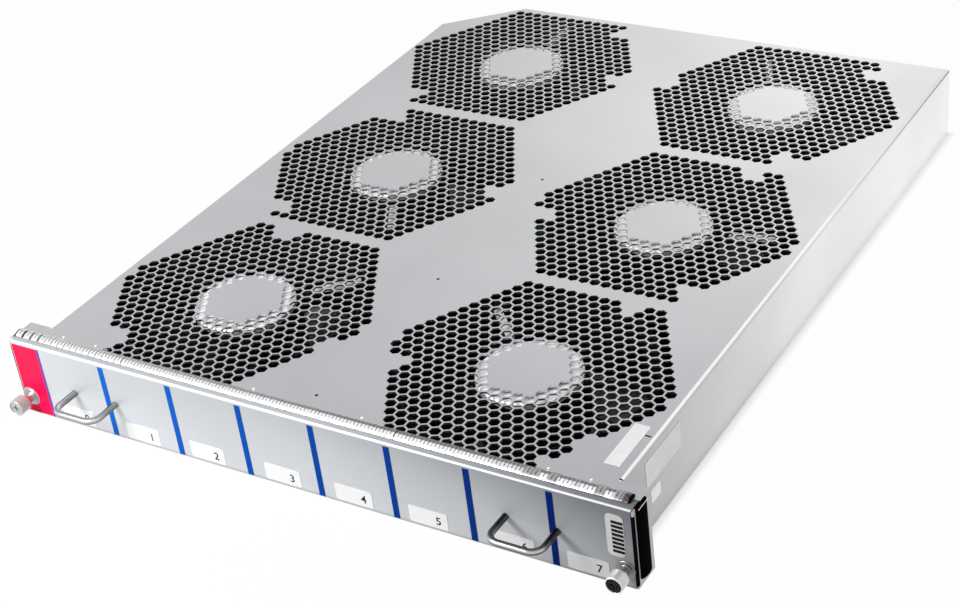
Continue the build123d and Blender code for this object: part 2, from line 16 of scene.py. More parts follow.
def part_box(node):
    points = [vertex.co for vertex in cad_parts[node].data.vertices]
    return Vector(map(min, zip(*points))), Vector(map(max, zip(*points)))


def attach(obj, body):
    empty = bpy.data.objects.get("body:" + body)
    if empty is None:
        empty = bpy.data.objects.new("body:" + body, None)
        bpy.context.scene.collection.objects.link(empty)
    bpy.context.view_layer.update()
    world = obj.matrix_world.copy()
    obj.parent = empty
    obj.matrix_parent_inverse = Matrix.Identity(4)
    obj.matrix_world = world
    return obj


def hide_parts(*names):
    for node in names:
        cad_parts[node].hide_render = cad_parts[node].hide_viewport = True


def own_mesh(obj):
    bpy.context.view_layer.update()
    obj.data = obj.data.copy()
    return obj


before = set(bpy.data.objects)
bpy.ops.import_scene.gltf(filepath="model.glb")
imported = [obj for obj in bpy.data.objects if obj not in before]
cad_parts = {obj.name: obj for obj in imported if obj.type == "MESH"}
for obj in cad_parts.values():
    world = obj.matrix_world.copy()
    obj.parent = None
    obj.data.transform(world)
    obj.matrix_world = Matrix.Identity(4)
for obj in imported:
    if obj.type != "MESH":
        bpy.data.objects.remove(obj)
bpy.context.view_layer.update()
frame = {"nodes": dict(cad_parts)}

bl_info = {
    "name": "Fan tray",
    "version": (1, 0, 0),
    "blender": (4, 5, 0),
    "location": "3D View > Sidebar > Fan tray",
    "description": "Builds the visible pieces of a rack fan tray around its packed frame",
    "category": "Add Mesh",
}

MM = 0.001
SIDES = {"left": -1, "right": 1}

# Places read from the frame
COVER_LOW, COVER_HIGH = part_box("top_cover")
PAN_LOW, PAN_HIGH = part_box("body_pan")
PANEL_LOW, PANEL_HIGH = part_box("front_panel")
FACE_Y = PANEL_LOW.y
REAR_Y = PAN_HIGH.y
TOP_Z = COVER_HIGH.z
SHEET = COVER_HIGH.z - COVER_LOW.z
BODY_HALF = PAN_HIGH.x
WING_HALF = COVER_HIGH.x
WING_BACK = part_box("wing_bracket_right")[1].y

# Sizes shared with the solids
PANEL_SHEET = 1.5 * MM
FRONT_JOINT = FACE_Y + 9.3 * MM
CORNER_CUT = (50 * MM, 46 * MM)
STUD_CIRCLE = 81 * MM
DISC_DEPTH = 4 * MM
DISC_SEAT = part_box("fan_motor_1")[1].z - DISC_DEPTH

# Radii of the bends, which the finishes follow
FOLD_RADIUS = 2.6 * MM
PANEL_BEND = 2.2 * MM

# Of each fan: its grille's unpunched lands, from its hub in hole pitches, then the turns of its studs and of
# the strut that carries its leads, in degrees
LANDS = {
    1: ((-3.1, 10.35), (10.55, -3.43), (-6.8, -8.39)),
    2: ((3.5, 10.4), (-10.3, -3.29), (8.9, -6.9)),
    3: ((-5.8, 9.14), (11.08, -0.34), (-6.25, -9.09)),
    4: ((3.65, 10.16), (-10.55, -2.27), (6.9, -9.05)),
    5: ((6.9, 9.05), (11.08, -0.34), (-6.9, -9.05)),
    6: ((6.85, 8.23), (-11.0, 0.89), (5.32, -9.77)),
}
STUD_TURNS = {
    1: (107, 231, 342),
    2: (71, 198, 322),
    3: (122, 236, 358),
    4: (70, 192, 307),
    5: (53, 233, 358),
    6: (50, 175, 299),
}
LEAD_TURNS = {1: 44, 2: 135, 3: 300, 4: 10, 5: 90, 6: 116}
# A single hole that is left out, by fan, and the fan that keeps the hole at its field's left tip
BLANK_HOLES = {2: (6.5, -9.53)}
LEFT_TIP_FAN = 5


def middle_of(node):
    """The middle of a node's box."""
    low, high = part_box(node)
    return (np.array(low) + np.array(high)) / 2


def radius_of(node):
    """Half the width of a node's box."""
    low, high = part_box(node)
    return (high.x - low.x) / 2


def hub_place(number):
    """The middle of a fan, seen from above."""
    return middle_of(f"fan_motor_{number}")[:2]


def stud_places(number):
    """Where a fan's studs stand, seen from above: hub plus the stud circle's radius along each turn."""
    turns = np.radians(STUD_TURNS[number])
    return hub_place(number) + STUD_CIRCLE * np.stack([np.cos(turns), np.sin(turns)], -1)


# Shapes. Each is a pair: an array of points, and faces as lists of point numbers.

WELD = 0.001 * MM


def mm(*rows):
    """Rows of millimetres, as an array in metres."""
    return np.array(rows, float) * MM


def joined(shapes):
    """Several shapes as one, the later point numbers moved up past the earlier ones."""
    starts = np.cumsum([0] + [len(points) for points, _ in shapes]).tolist()
    faces = [[start + n for n in face] for start, shape in zip(starts, shapes) for face in shape[1]]
    return np.vstack([points for points, _ in shapes]), faces


def moved(shape, x=0.0, y=0.0, z=0.0):
    """A shape carried by a distance along each axis."""
    return shape[0] + np.array([x, y, z]), shape[1]


def turned(shape, angle):
    """A shape turned about Z by an angle in radians."""
    spin = np.array([[cos(angle), sin(angle), 0], [-sin(angle), cos(angle), 0], [0, 0, 1]])
    return shape[0] @ spin, shape[1]


def laid_forwards(shape):
    """A shape built about Z laid over, so that its +Z looks forwards along -Y."""
    x, y, z = shape[0].T
    return np.stack([x, -z, y], -1), shape[1]


def grid_faces(rows, columns, close_rows=False, close_columns=False):
    """Quads between neighbouring points of a grid. Point (row, column) is row times columns plus column."""
    row, column = np.meshgrid(
        np.arange(rows if close_rows else rows - 1),
        np.arange(columns if close_columns else columns - 1),
        indexing="ij",
    )
    next_row = (row + 1) % rows
    next_column = (column + 1) % columns
    corners = [
        row * columns + column,
        row * columns + next_column,
        next_row * columns + next_column,
        next_row * columns + column,
    ]
    return np.stack(corners, -1).reshape(-1, 4).tolist()


def capped_faces(rows, columns):
    """The quads of a closed section that is carried along rows, and a face over each end."""
    last = (rows - 1) * columns
    ends = [list(range(columns)), list(range(last + columns - 1, last - 1, -1))]
    return grid_faces(rows, columns, False, True) + ends


def arc(middle, radius, start, end, steps):
    """Points on an arc: middle plus radius times cosine and sine of an angle from start to end degrees."""
    angles = np.radians(np.linspace(start, end, steps + 1))
    return np.array(middle) + radius * np.stack([np.cos(angles), np.sin(angles)], -1)


def circle(middle, radius, steps):
    """A full circle's points, the first not repeated."""
    return arc(middle, radius, 0, 360, steps)[:-1]


def rectangle(x, y, other_x, other_y):
    """The corners between two opposite ones, in order."""
    return np.array([(x, y), (other_x, y), (other_x, other_y), (x, other_y)])


def lathe(profile, sides, closed=False):
    """Surface of revolution about Z: each point of a (radius, height) profile turned round a full circle."""
    profile = np.asarray(profile, float)
    angle = np.linspace(0, 2 * pi, sides, endpoint=False)[:, None]
    x = np.cos(angle) * profile[:, 0]
    y = np.sin(angle) * profile[:, 0]
    z = np.broadcast_to(profile[:, 1], x.shape)
    points = np.stack([x, y, z], -1).reshape(-1, 3)
    return points, grid_faces(sides, len(profile), True, closed)


def prism(loop, start, end, axis):
    """A flat loop carried straight from start to end along an axis, with both ends closed.

    The loop's two columns are the other two axes, in the order X, Y, Z.
    """
    ends = [np.insert(np.asarray(loop, float), axis, place, axis=1) for place in (start, end)]
    return np.vstack(ends), capped_faces(2, len(loop))


def tube(path, radius, sides, upward):
    """A circle carried along a path, square to it, with both ends closed.

    The circle's first axis is the path's direction crossed with upward, and its second is the path's
    direction crossed with the first.
    """
    along = np.gradient(path, axis=0)
    along /= np.linalg.norm(along, axis=1, keepdims=True)
    across = np.cross(along, upward)
    across /= np.linalg.norm(across, axis=1, keepdims=True)
    other = np.cross(along, across)
    angle = np.linspace(0, 2 * pi, sides, endpoint=False)[None, :, None]
    ring = radius * (np.cos(angle) * across[:, None] + np.sin(angle) * other[:, None])
    return (path[:, None] + ring).reshape(-1, 3), capped_faces(len(path), sides)


def inside(place, loop):
    """Whether a point lies in a loop: a level line from it crosses the loop an odd number of times."""
    x, y = loop.T
    next_x, next_y = np.roll(loop, -1, axis=0).T
    spans = (y > place[1]) != (next_y > place[1])
    rise = np.where(spans, next_y - y, 1)
    crossing = x + (place[1] - y) / rise * (next_x - x)
    return np.count_nonzero(spans & (crossing > place[0])) % 2 == 1


def cut_flat(outline, holes):
    """Points, triangles and edges of a flat sheet between its outline and the loops cut from it.

    Each loop is anticlockwise. A triangle fills a hole, and is left out, where its three corners are on one
    hole's loop and its middle is inside that loop.
    """
    loops = [outline, *holes]
    points = np.vstack(loops)
    lengths = [len(loop) for loop in loops]
    loop_of = np.repeat(np.arange(len(loops)), lengths)
    edges = []
    for start, length in zip(np.cumsum([0] + lengths), lengths):
        numbers = np.arange(length)
        edges += (start + np.stack([numbers, (numbers + 1) % length], -1)).tolist()
    inside_constraints = 1
    closeness = 1e-9
    found = delaunay_2d_cdt(points.tolist(), edges, [], inside_constraints, closeness)
    if len(found[0]) != len(points):
        raise RuntimeError("two loops of a cut sheet touch or cross")
    triangles = []
    for face in found[2]:
        owners = set(loop_of[list(face)])
        owner = owners.pop()
        one_hole = not owners and owner > 0
        if not (one_hole and inside(points[list(face)].mean(axis=0), loops[owner])):
            triangles.append(list(face))
    return points, triangles, edges


def sheet(outline, holes, low, high):
    """A flat sheet from low to high with holes: the cut triangles on both faces, a wall round each loop."""
    points, triangles, edges = cut_flat(outline, holes)
    count = len(points)
    faces = triangles + [[count + n for n in reversed(face)] for face in triangles]
    faces += [[count + a, count + b, b, a] for a, b in edges]
    return np.vstack([np.insert(points, 2, height, axis=1) for height in (high, low)]), faces


def outline_offsets(path):
    """The way inwards at an open anticlockwise path's corners, so long that it moves each edge by one."""
    edge = np.diff(path, axis=0)
    edge /= np.linalg.norm(edge, axis=1, keepdims=True)
    inward = np.stack([-edge[:, 1], edge[:, 0]], -1)
    before = np.vstack([inward[:1], inward])
    after = np.vstack([inward, inward[-1:]])
    middle = before + after
    return middle / (middle * before).sum(axis=1, keepdims=True)


def mesh_points(mesh):
    """A mesh's points, as an array."""
    points = np.zeros(len(mesh.vertices) * 3)
    mesh.vertices.foreach_get("co", points)
    return points.reshape(-1, 3)


# Materials. A colour is three numbers, or one for a grey.


def shade(colour, share):
    """A colour made lighter or darker by a share."""
    return tuple(min(1.0, part * share) for part in colour)


def with_alpha(colour):
    """A colour or a grey as the four numbers of a colour socket."""
    return (*((colour,) * 3 if isinstance(colour, (int, float)) else colour), 1)


class Tree:
    """A node tree, with short ways to add its nodes and to wire them."""

    def __init__(self, owner):
        owner.use_nodes = True
        self.nodes = owner.node_tree.nodes
        self.links = owner.node_tree.links

    def wire(self, value, socket):
        """Gives an input its value: another node's socket, a number, a vector or a colour."""
        if isinstance(value, bpy.types.NodeSocket):
            self.links.new(value, socket)
        else:
            socket.default_value = with_alpha(value) if socket.type == "RGBA" else value

    def node(self, kind, inputs, **settings):
        """A new shader node with its settings. Its inputs are given by name or number."""
        node = self.nodes.new(f"ShaderNode{kind}")
        for name, value in settings.items():
            setattr(node, name, value)
        for name, value in inputs.items():
            self.wire(value, node.inputs[name])
        return node

    def maths(self, operation, *values):
        """Numbers put through one operation."""
        return self.node("Math", dict(enumerate(values)), operation=operation).outputs[0]

    def product(self, first, second):
        """One number times another."""
        return self.maths("MULTIPLY", first, second)

    def seen_rays(self):
        """1 for rays from the camera, from gloss and through glass, 0 for others."""
        rays = self.node("LightPath", {}).outputs
        seen = rays["Is Camera Ray"]
        for name in ("Is Glossy Ray", "Is Transmission Ray"):
            seen = self.maths("MAXIMUM", seen, rays[name])
        return seen

    def end_with(self, output, share, first, second):
        """Sends the mix of two shaders to the tree's output."""
        mix = self.node("MixShader", {0: share, 1: first.outputs[0], 2: second.outputs[0]})
        self.wire(mix.outputs[0], self.nodes[output].inputs["Surface"])


class Finish(Tree):
    """A material under construction, with a Principled shader and Object coordinates."""

    def __init__(self, name, metallic, roughness, colour, gloss=0.5):
        self.material = bpy.data.materials.new(name)
        super().__init__(self.material)
        self.shader = self.nodes["Principled BSDF"]
        self.place = self.node("TexCoord", {}).outputs["Object"]
        self.give("Metallic", metallic)
        self.give("Roughness", roughness)
        self.give("Base Color", colour)
        self.give("Specular IOR Level", gloss)

    def give(self, name, value):
        """Sets one input of the shader."""
        self.wire(value, self.shader.inputs[name])

    def stretched(self, scale, middle=(0, 0, 0)):
        """Object coordinates measured from a middle, each axis multiplied by its own scale."""
        scale = np.broadcast_to(scale, 3).astype(float)
        offset = -scale * middle
        inputs = {"Vector": self.place, "Scale": scale.tolist(), "Location": offset.tolist()}
        return self.node("Mapping", inputs).outputs["Vector"]

    def noise(self, scale, detail=3.0):
        """Soft noise, so many cells per metre, the same along all axes or each its own."""
        inputs = {"Vector": self.stretched(scale), "Scale": 1.0, "Detail": detail}
        return self.node("TexNoise", inputs).outputs["Fac"]

    def ranged(self, value, low, high, old_low=0.3, old_high=0.7):
        """A value spread to run from low to high, and held there beyond its old range."""
        inputs = {"Value": value, "From Min": old_low, "From Max": old_high, "To Min": low, "To Max": high}
        return self.node("MapRange", inputs).outputs["Result"]

    def ramp(self, value, *stops):
        """Colours along a value. Each stop is its place and its colour."""
        ramp = self.node("ValToRGB", {"Fac": value})
        elements = ramp.color_ramp.elements
        for number, (position, colour) in enumerate(stops):
            element = elements[number] if number < 2 else elements.new(position)
            element.position = position
            element.color = with_alpha(colour)
        return ramp.outputs["Color"]

    def axis(self, name):
        """One Object coordinate, in metres."""
        return self.node("SeparateXYZ", {"Vector": self.place}).outputs[name]

    def along(self, name, low, high):
        """0 to 1 as one Object coordinate goes from low to high."""
        return self.ranged(self.axis(name), 0, 1, low, high)

    def across(self):
        """0 to 1 from the panel's left end to its right end."""
        return self.along("X", PANEL_LOW.x, PANEL_HIGH.x)

    def blend(self, share, first, second, way="MIX"):
        """Two colours put together by a share."""
        inputs = {0: share, 6: first, 7: second}
        return self.node("Mix", inputs, data_type="RGBA", blend_type=way).outputs[2]

    def tinted(self, first, second):
        """One colour times another."""
        return self.blend(1.0, first, second, "MULTIPLY")

    def paint(self, value):
        """Colours the surface, a little darker where the finish drifts."""
        self.give("Base Color", self.tinted(value, self.drift))

    def bump(self, value, strength, depth):
        """Raises the surface by a value, depth in metres."""
        inputs = {"Strength": strength, "Distance": depth, "Height": value}
        self.give("Normal", self.node("Bump", inputs).outputs["Normal"])


def rolled_metal(name, colour, roughness, grain=3000, drift=0.05, metallic=1.0):
    """Satin metal: colour and roughness drift softly, and a fine grain runs along its rolling direction."""
    finish = Finish(name, metallic, roughness, colour)
    finish.drift = finish.ramp(finish.noise(9, 2.0), (0.3, 1 - 2 * drift), (0.7, 1))
    finish.paint(colour)
    streak = finish.noise(grain)
    finish.give("Roughness", finish.ranged(streak, roughness * 0.9, roughness * 1.1))
    finish.bump(streak, 0.02, 0.02 * MM)
    return finish


def moulded_plastic(name, colour, roughness, grain=2500, gloss=0.12):
    """Moulded plastic: a fine pebbled grain, and roughness that drifts where it was handled."""
    finish = Finish(name, 0.0, roughness, colour, gloss)
    cloud = finish.noise(30)
    finish.give("Base Color", finish.ramp(cloud, (0.35, shade(colour, 0.8)), (0.65, shade(colour, 1.25))))
    finish.give("Roughness", finish.ranged(cloud, roughness * 0.85, min(1.0, roughness * 1.2)))
    finish.bump(finish.noise(grain, 2.0), 0.1, 0.03 * MM)
    return finish


def printed_film(name, colour, roughness=0.35, metallic=0.0, gloss=0.06):
    """A stuck-on film or foil label: faint mottling, and a trace of orange peel."""
    finish = Finish(name, metallic, roughness, colour, gloss)
    stops = ((0.3, shade(colour, 0.97)), (0.7, shade(colour, 1.03)))
    finish.give("Base Color", finish.ramp(finish.noise(120), *stops))
    finish.bump(finish.noise(900, 2.0), 0.08, 0.02 * MM)
    return finish


def foam_rubber(name, colour):
    """Cellular foam: dark pores from a Voronoi pattern, fully rough."""
    finish = Finish(name, 0.0, 0.95, colour, 0.02)
    pores = finish.node("TexVoronoi", {"Vector": finish.place, "Scale": 1400}).outputs["Distance"]
    finish.give("Base Color", finish.ramp(pores, (0.1, shade(colour, 0.4)), (0.7, shade(colour, 1.6))))
    finish.bump(pores, 0.5, 0.15 * MM)
    return finish


def turned_cap(name, colour, middle):
    """A motor: a turned disc with fine rings about its own middle, over a side darkened to near black,
    painted shade.
    """
    finish = Finish(name, 1.0, 0.25, colour)
    inputs = {"Vector": finish.stretched(320, middle), "Scale": 1.0, "Distortion": 0.4}
    rings = finish.node("TexWave", inputs, wave_type="RINGS", rings_direction="Z").outputs["Fac"]
    finish.give("Roughness", finish.ranged(rings, 0.55, 0.7, 0, 1))
    finish.bump(rings, 0.12, 0.03 * MM)
    metal = finish.ramp(finish.noise(60, 2.0), (0.3, shade(colour, 0.92)), (0.7, shade(colour, 1.05)))
    # Painted shade: near black below the disc's seat.
    disc = finish.ranged(finish.axis("Z"), 0.01, 1, DISC_SEAT - 0.3 * MM, DISC_SEAT)
    finish.give("Base Color", finish.tinted(metal, disc))
    return finish


def laminate(name, colour):
    """Circuit board: lighter tracks from a square pattern under a glossy lacquer."""
    finish = Finish(name, 0.0, 0.3, colour)
    colours = {"Color1": colour, "Color2": shade(colour, 0.85), "Mortar": shade(colour, 1.7)}
    inputs = {"Vector": finish.stretched(260), "Scale": 1.0, "Mortar Size": 0.06, **colours}
    tracks = finish.node("TexBrick", inputs).outputs
    finish.give("Base Color", tracks["Color"])
    finish.bump(tracks["Fac"], 0.2, 0.03 * MM)
    return finish


def panel_tones(finish, colours):
    """Colours the panel with painted light: it fades to painted shade towards the right, faster towards its
    top, and its top bend carries a painted highlight line.

    The place on the fade is the share across times (0.65 plus 0.43 times the square of the share up).
    """
    across = finish.across()
    up = finish.along("Z", PANEL_LOW.z, PANEL_HIGH.z)
    place = finish.product(across, finish.maths("MULTIPLY_ADD", finish.product(up, up), 0.43, 0.65))
    left_half = ((0, colours.panel), (0.35, colours.panel_middle))
    right_half = ((0.65, colours.panel_right), (1, colours.panel_shade))
    # Painted shade: dimmer towards the top, at the right end, and along the bottom edge of the face.
    upper_dim = finish.ranged(up, 1, 0.84, 0, 1)
    end_dim = finish.ranged(across, 1, 0.7, 0.86, 1)
    foot_dim = finish.ranged(finish.axis("Z"), 0.6, 1, 0, 2.8 * MM)
    # Painted light and shade: the top flange darker than the face at the left and lighter at the right.
    flange_gain = finish.ranged(across, 0.82, 1.55, 0, 1)
    face = finish.ramp(place, *left_half, *right_half)
    face = finish.tinted(face, finish.product(upper_dim, end_dim))
    flange = finish.tinted(face, flange_gain)
    # Painted highlight: a bright line along the top bend.
    top = finish.along("Z", TOP_Z - PANEL_BEND, TOP_Z)
    line = finish.ramp(top, (0.45, 0), (0.6, 1), (0.82, 1), (0.95, 0))
    flat = finish.blend(finish.ranged(top, 0, 1, 0.9, 1), finish.tinted(face, foot_dim), flange)
    finish.paint(finish.blend(line, flat, colours.bend_line))
    finish.give("Metallic", finish.ranged(across, 0.45, 0, 0.2, 0.85))


def cover_tones(finish, colours):
    """Colours the cover with painted light: lighter to the rear right, a painted reflection, and a painted
    highlight along its side folds.

    The highlight fades out towards the rear, where a painted shade line fades in along the seam with the
    wall.
    The place on the cover's fade is the share across times (0.52 times the share back, less 0.115), spread to
    0 to 1.
    """
    y = finish.axis("Y")
    back = finish.along("Y", FACE_Y, REAR_Y)
    lift = finish.maths("MULTIPLY_ADD", back, 0.52, -0.115)
    place = finish.product(finish.along("X", -BODY_HALF, BODY_HALF), lift)
    stops = ((0, colours.sheet), (0.5, colours.sheet_middle), (1, colours.sheet_rear))
    flat = finish.ramp(finish.ranged(place, 0, 1, -0.115, 0.26), *stops)
    from_middle = finish.maths("ABSOLUTE", finish.axis("X"))
    fold = finish.ranged(from_middle, 0, 1, BODY_HALF - FOLD_RADIUS, BODY_HALF)
    # Painted highlight along the side folds.
    line = finish.ramp(fold, (0.15, 0), (0.35, 1), (0.7, 1), (0.9, 0))
    behind_wing = finish.ranged(y, 0, 1, WING_BACK, WING_BACK + 1 * MM)
    front_share = finish.ranged(y, 1, 0, REAR_Y - 220 * MM, REAR_Y - 90 * MM)
    bright = finish.product(line, finish.product(behind_wing, front_share))
    # Painted shade: a dark line along the fold's outer part, growing towards the rear.
    seam = finish.ranged(fold, 0, 1, 0.84, 0.92)
    dark = finish.product(seam, finish.ranged(y, 0, 1, REAR_Y - 220 * MM, REAR_Y))
    lined = finish.blend(bright, flat, colours.bend_line)
    finish.paint(finish.blend(dark, lined, shade(colours.sheet_rear, 0.35)))


def strip_tones(finish, colours):
    """Colours the spring fingers: bright slopes and dark crowns, a painted reflection, some fingers darker at
    random at the right, and painted shade at the strips' right end, mottled brown.
    """
    # Painted reflection: the crowns darker than the slopes, more so to the right.
    crown = finish.along("Y", FACE_Y + 4.5 * MM, FACE_Y + 13 * MM)
    crown = finish.ramp(crown, (0.38, 0), (0.46, 1), (0.74, 1), (0.84, 0))
    dark = finish.ramp(finish.across(), (0, colours.crown), (0.6, colours.crown_shade))
    arched = finish.blend(crown, colours.strip, dark)
    dimmed = finish.ranged(finish.noise((90, 0, 0), 0.0), 0, 1, 0.48, 0.52)
    dimmed = finish.product(dimmed, finish.along("X", 120 * MM, 150 * MM))
    sprung = finish.blend(dimmed, arched, shade(colours.strip, 0.4))
    # Painted shade at the strips' right end, mottled brown.
    rust = finish.ramp(finish.noise(700), (0.35, shade(colours.rust, 0.4)), (0.65, shade(colours.rust, 1.6)))
    shaded_end = finish.along("X", 204.4 * MM, 205.6 * MM)
    finish.paint(finish.blend(shaded_end, sprung, rust))


def wire_tones(finish, colours):
    """Colours the handles with painted light and shade: by the height in their rod, darker at the right,
    and darker along their legs.
    """
    low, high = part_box("handle_left")
    up = finish.along("Z", low.z, high.z)
    side = finish.ranged(finish.across(), 0, 1, 0.3, 0.8)
    # Painted highlight above the rod's middle and painted shade below it, lighter for the left handle.
    left = ((0.1, 0.15), (0.45, 0.5), (0.75, 1), (0.86, 0.9), (1.0, 0.4))
    right = ((0.15, 0.01), (0.45, 0.12), (0.72, 1), (0.84, 0.7), (0.96, 0.15))
    rods = []
    for colour, stops in ((colours.wire, left), (colours.wire_shade, right)):
        rods.append(finish.ramp(up, *((place, shade(colour, share)) for place, share in stops)))
    # Painted shade along the legs, deeper at the right.
    legs = finish.along("Y", low.y + 4 * MM, low.y + 14 * MM)
    dim = finish.blend(legs, 1, finish.ranged(side, 0.5, 0.22, 0, 1))
    finish.paint(finish.tinted(finish.blend(side, *rods), dim))


def wall_tones(finish, colours):
    """Colours the pan and the brackets: lighter to the rear, a painted reflection."""
    stops = ((0.05, colours.wall), (0.5, colours.wall_middle), (0.8, colours.wall_rear))
    finish.paint(finish.ramp(finish.along("Y", FACE_Y, REAR_Y), *stops))


def screw_tones(finish, colours):
    """Colours the screws: the right one darker, painted shade."""
    stops = ((0.2, colours.screw), (0.8, shade(colours.screw, 0.5)))
    finish.paint(finish.ramp(finish.across(), *stops))


def knob_tones(finish, colours):
    """Colours the knobs: the left one darker, painted shade, and the right one lighter, painted light, and
    more metallic.
    """
    stops = ((0.2, shade(colours.knob, 0.5)), (0.8, colours.knob))
    finish.paint(finish.ramp(finish.across(), *stops))
    finish.give("Metallic", finish.ranged(finish.across(), 0.25, 0.52, 0.2, 0.8))


def stripe_tones(finish, colours):
    """Colours the stripes: the thin one by the end label, then the wide ones, darker to the right in painted
    shade.
    """
    left_half = ((0.1, colours.edge_line), (0.12, colours.blue))
    right_half = ((0.5, colours.blue_middle), (1.0, colours.blue_shade))
    finish.give("Base Color", finish.ramp(finish.across(), *left_half, *right_half))


def slip_tones(finish, colours):
    """Colours the panel's white labels: darker at its right end, painted shade."""
    stops = ((0.7, shade(colours.paper, 0.84)), (1.0, colours.paper_shade))
    finish.give("Base Color", finish.ramp(finish.across(), *stops))


def end_label_tones(finish, colours):
    """Colours the end label: a little lighter in its upper part."""
    stops = ((0.25, colours.red), (0.6, colours.red_top))
    finish.give("Base Color", finish.ramp(finish.along("Z", 0.0, TOP_Z), *stops))


# The finishes that change with the place on the tray, most of them by painted light and shade
TONES = {
    "sheet": cover_tones,
    "wall": wall_tones,
    "panel": panel_tones,
    "strip": strip_tones,
    "wire": wire_tones,
    "screw": screw_tones,
    "knob": knob_tones,
    "red_film": end_label_tones,
    "blue_film": stripe_tones,
    "slip": slip_tones,
}
materials = {}


def make_materials(colours):
    """Every finish of the tray, by name. The grain is in cells per metre along X, Y and Z."""
    along_y = (1800, 40, 1800)
    along_x = (40, 1800, 1800)
    finishes = {
        "sheet": rolled_metal("cover_sheet", colours.sheet, 0.34, along_y),
        "wall": rolled_metal("pan_sheet", colours.wall, 0.36, along_y),
        # Painted shade: near black on the pan's inside and on the rib under the cover.
        "shading": moulded_plastic("pan_shading", colours.frame, 0.7),
        "panel": rolled_metal("panel_sheet", colours.panel, 0.42, along_x, metallic=0.45),
        "strip": rolled_metal("spring_strip", colours.strip, 0.25, along_x, 0.04),
        "bright": rolled_metal("bright_steel", colours.strip, 0.3),
        # Painted shade: the feet are a darker copy of the strips' metal, for the shade under the fingers.
        "foot": rolled_metal("strip_foot", colours.foot, 0.3, along_x),
        "foam": foam_rubber("foam_rubber", colours.foam),
        "wire": rolled_metal("drawn_wire", colours.wire, 0.3),
        "screw": rolled_metal("turned_steel", colours.screw, 0.4, (300, 4000, 300)),
        "knob": rolled_metal("knob_metal", colours.knob, 0.35),
        # Painted light and shade: the same knob fronts, lighter at the left and near black at the right.
        "recess_left": rolled_metal("knob_front_left", shade(colours.knob, 0.7), 0.4),
        "recess_right": rolled_metal("knob_front_right", colours.recess, 0.4),
        "frame": moulded_plastic("frame_plastic", colours.frame, 0.7, gloss=0.03),
        "rotor": moulded_plastic("rotor_plastic", colours.rotor, 0.6, 4000, 0.03),
        "sleeve": moulded_plastic("lead_sleeve", colours.sleeve, 0.25, 1200, 0.5),
        "stud": rolled_metal("plated_stud", colours.stud, 0.45),
        "bronze": rolled_metal("sintered_bronze", colours.bronze, 0.5, drift=0.2),
        "brass": rolled_metal("turned_brass", colours.bronze, 0.3, (500, 500, 4000)),
        "resin": moulded_plastic("connector_resin", colours.rotor, 0.4, gloss=0.4),
        "contact": rolled_metal("contact_gold", colours.contact, 0.2),
        "board": laminate("board_laminate", colours.board),
        "red_film": printed_film("red_film", colours.red),
        "blue_film": printed_film("blue_film", colours.blue, gloss=0.02),
        "paper": printed_film("paper", colours.paper, 0.5, 0.6),
        "tag": printed_film("paper_tag", colours.paper, 0.5, 0.8),
        "slip": printed_film("paper_slip", colours.paper, 0.5, 0.6),
        "print_ink": printed_film("print_ink", colours.ink, 0.5),
    }
    for name, tones in TONES.items():
        tones(finishes[name], colours)
    for number in LANDS:
        middle = (*hub_place(number), 0)
        finishes[f"cap_{number}"] = turned_cap(f"motor_cap_{number}", colours.cap, middle)
    materials.update({name: finish.material for name, finish in finishes.items()})


def add_piece(name, shape, body, finish, stands_for=(), smooth=35):
    """Makes a mesh object of a shape, points its faces outwards, and sets it on a body of the frame.

    Edges that turn by more than smooth degrees stay sharp.
    """
    points, faces = shape
    mesh = bpy.data.meshes.new(name)
    mesh.from_pydata(points.tolist(), [], faces)
    work = bmesh.new()
    work.from_mesh(mesh)
    bmesh.ops.remove_doubles(work, verts=work.verts, dist=WELD)
    bmesh.ops.recalc_face_normals(work, faces=work.faces)
    work.to_mesh(mesh)
    work.free()
    mesh.shade_smooth()
    mesh.set_sharp_from_angle(angle=radians(smooth))
    mesh.materials.append(materials[finish])
    piece = bpy.data.objects.new(name, mesh)
    bpy.context.scene.collection.objects.link(piece)
    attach(piece, body)
    if stands_for:
        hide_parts(*stands_for)
    return piece


def finish_nodes(finish, *nodes):
    """Gives nodes of the frame a better material."""
    for node in nodes:
        mesh = frame["nodes"][node].data
        mesh.materials.clear()
        mesh.materials.append(materials[finish])


# Settings


def size(name, text, value):
    """A length setting, in metres."""
    return FloatProperty(name=name, description=text, default=value, min=0.0, unit="LENGTH")


def count(name, text, value):
    """A whole number setting."""
    return IntProperty(name=name, description=text, default=value, min=1)


def amount(name, text, value):
    """A setting without a unit."""
    return FloatProperty(name=name, description=text, default=value)


def tint(name, text, *value):
    """A colour setting, in linear light, from three numbers or one for a grey."""
    value = value * 3 if len(value) == 1 else value
    return FloatVectorProperty(name=name, description=text, default=value, subtype="COLOR", min=0.0, max=1.0)


class FanTrayCover(bpy.types.PropertyGroup):
    """Sizes of the punched cover."""

    hole_pitch: size("Hole pitch", "From one hole's middle to the next", 7.5 * MM)
    hole_flats: size("Hole across flats", "Width of a hexagon hole", 6.35 * MM)
    hub_blank: size("Hub blank", "Radius of the unpunched middle over a motor", 24 * MM)
    land: size("Stud land", "Radius of the unpunched land about a stud", 9.75 * MM)
    fold_radius: size("Fold radius", "Outer radius of the fold at the cover's sides", FOLD_RADIUS)
    rings: count("Rings", "Rings of holes about a fan's middle", 12)


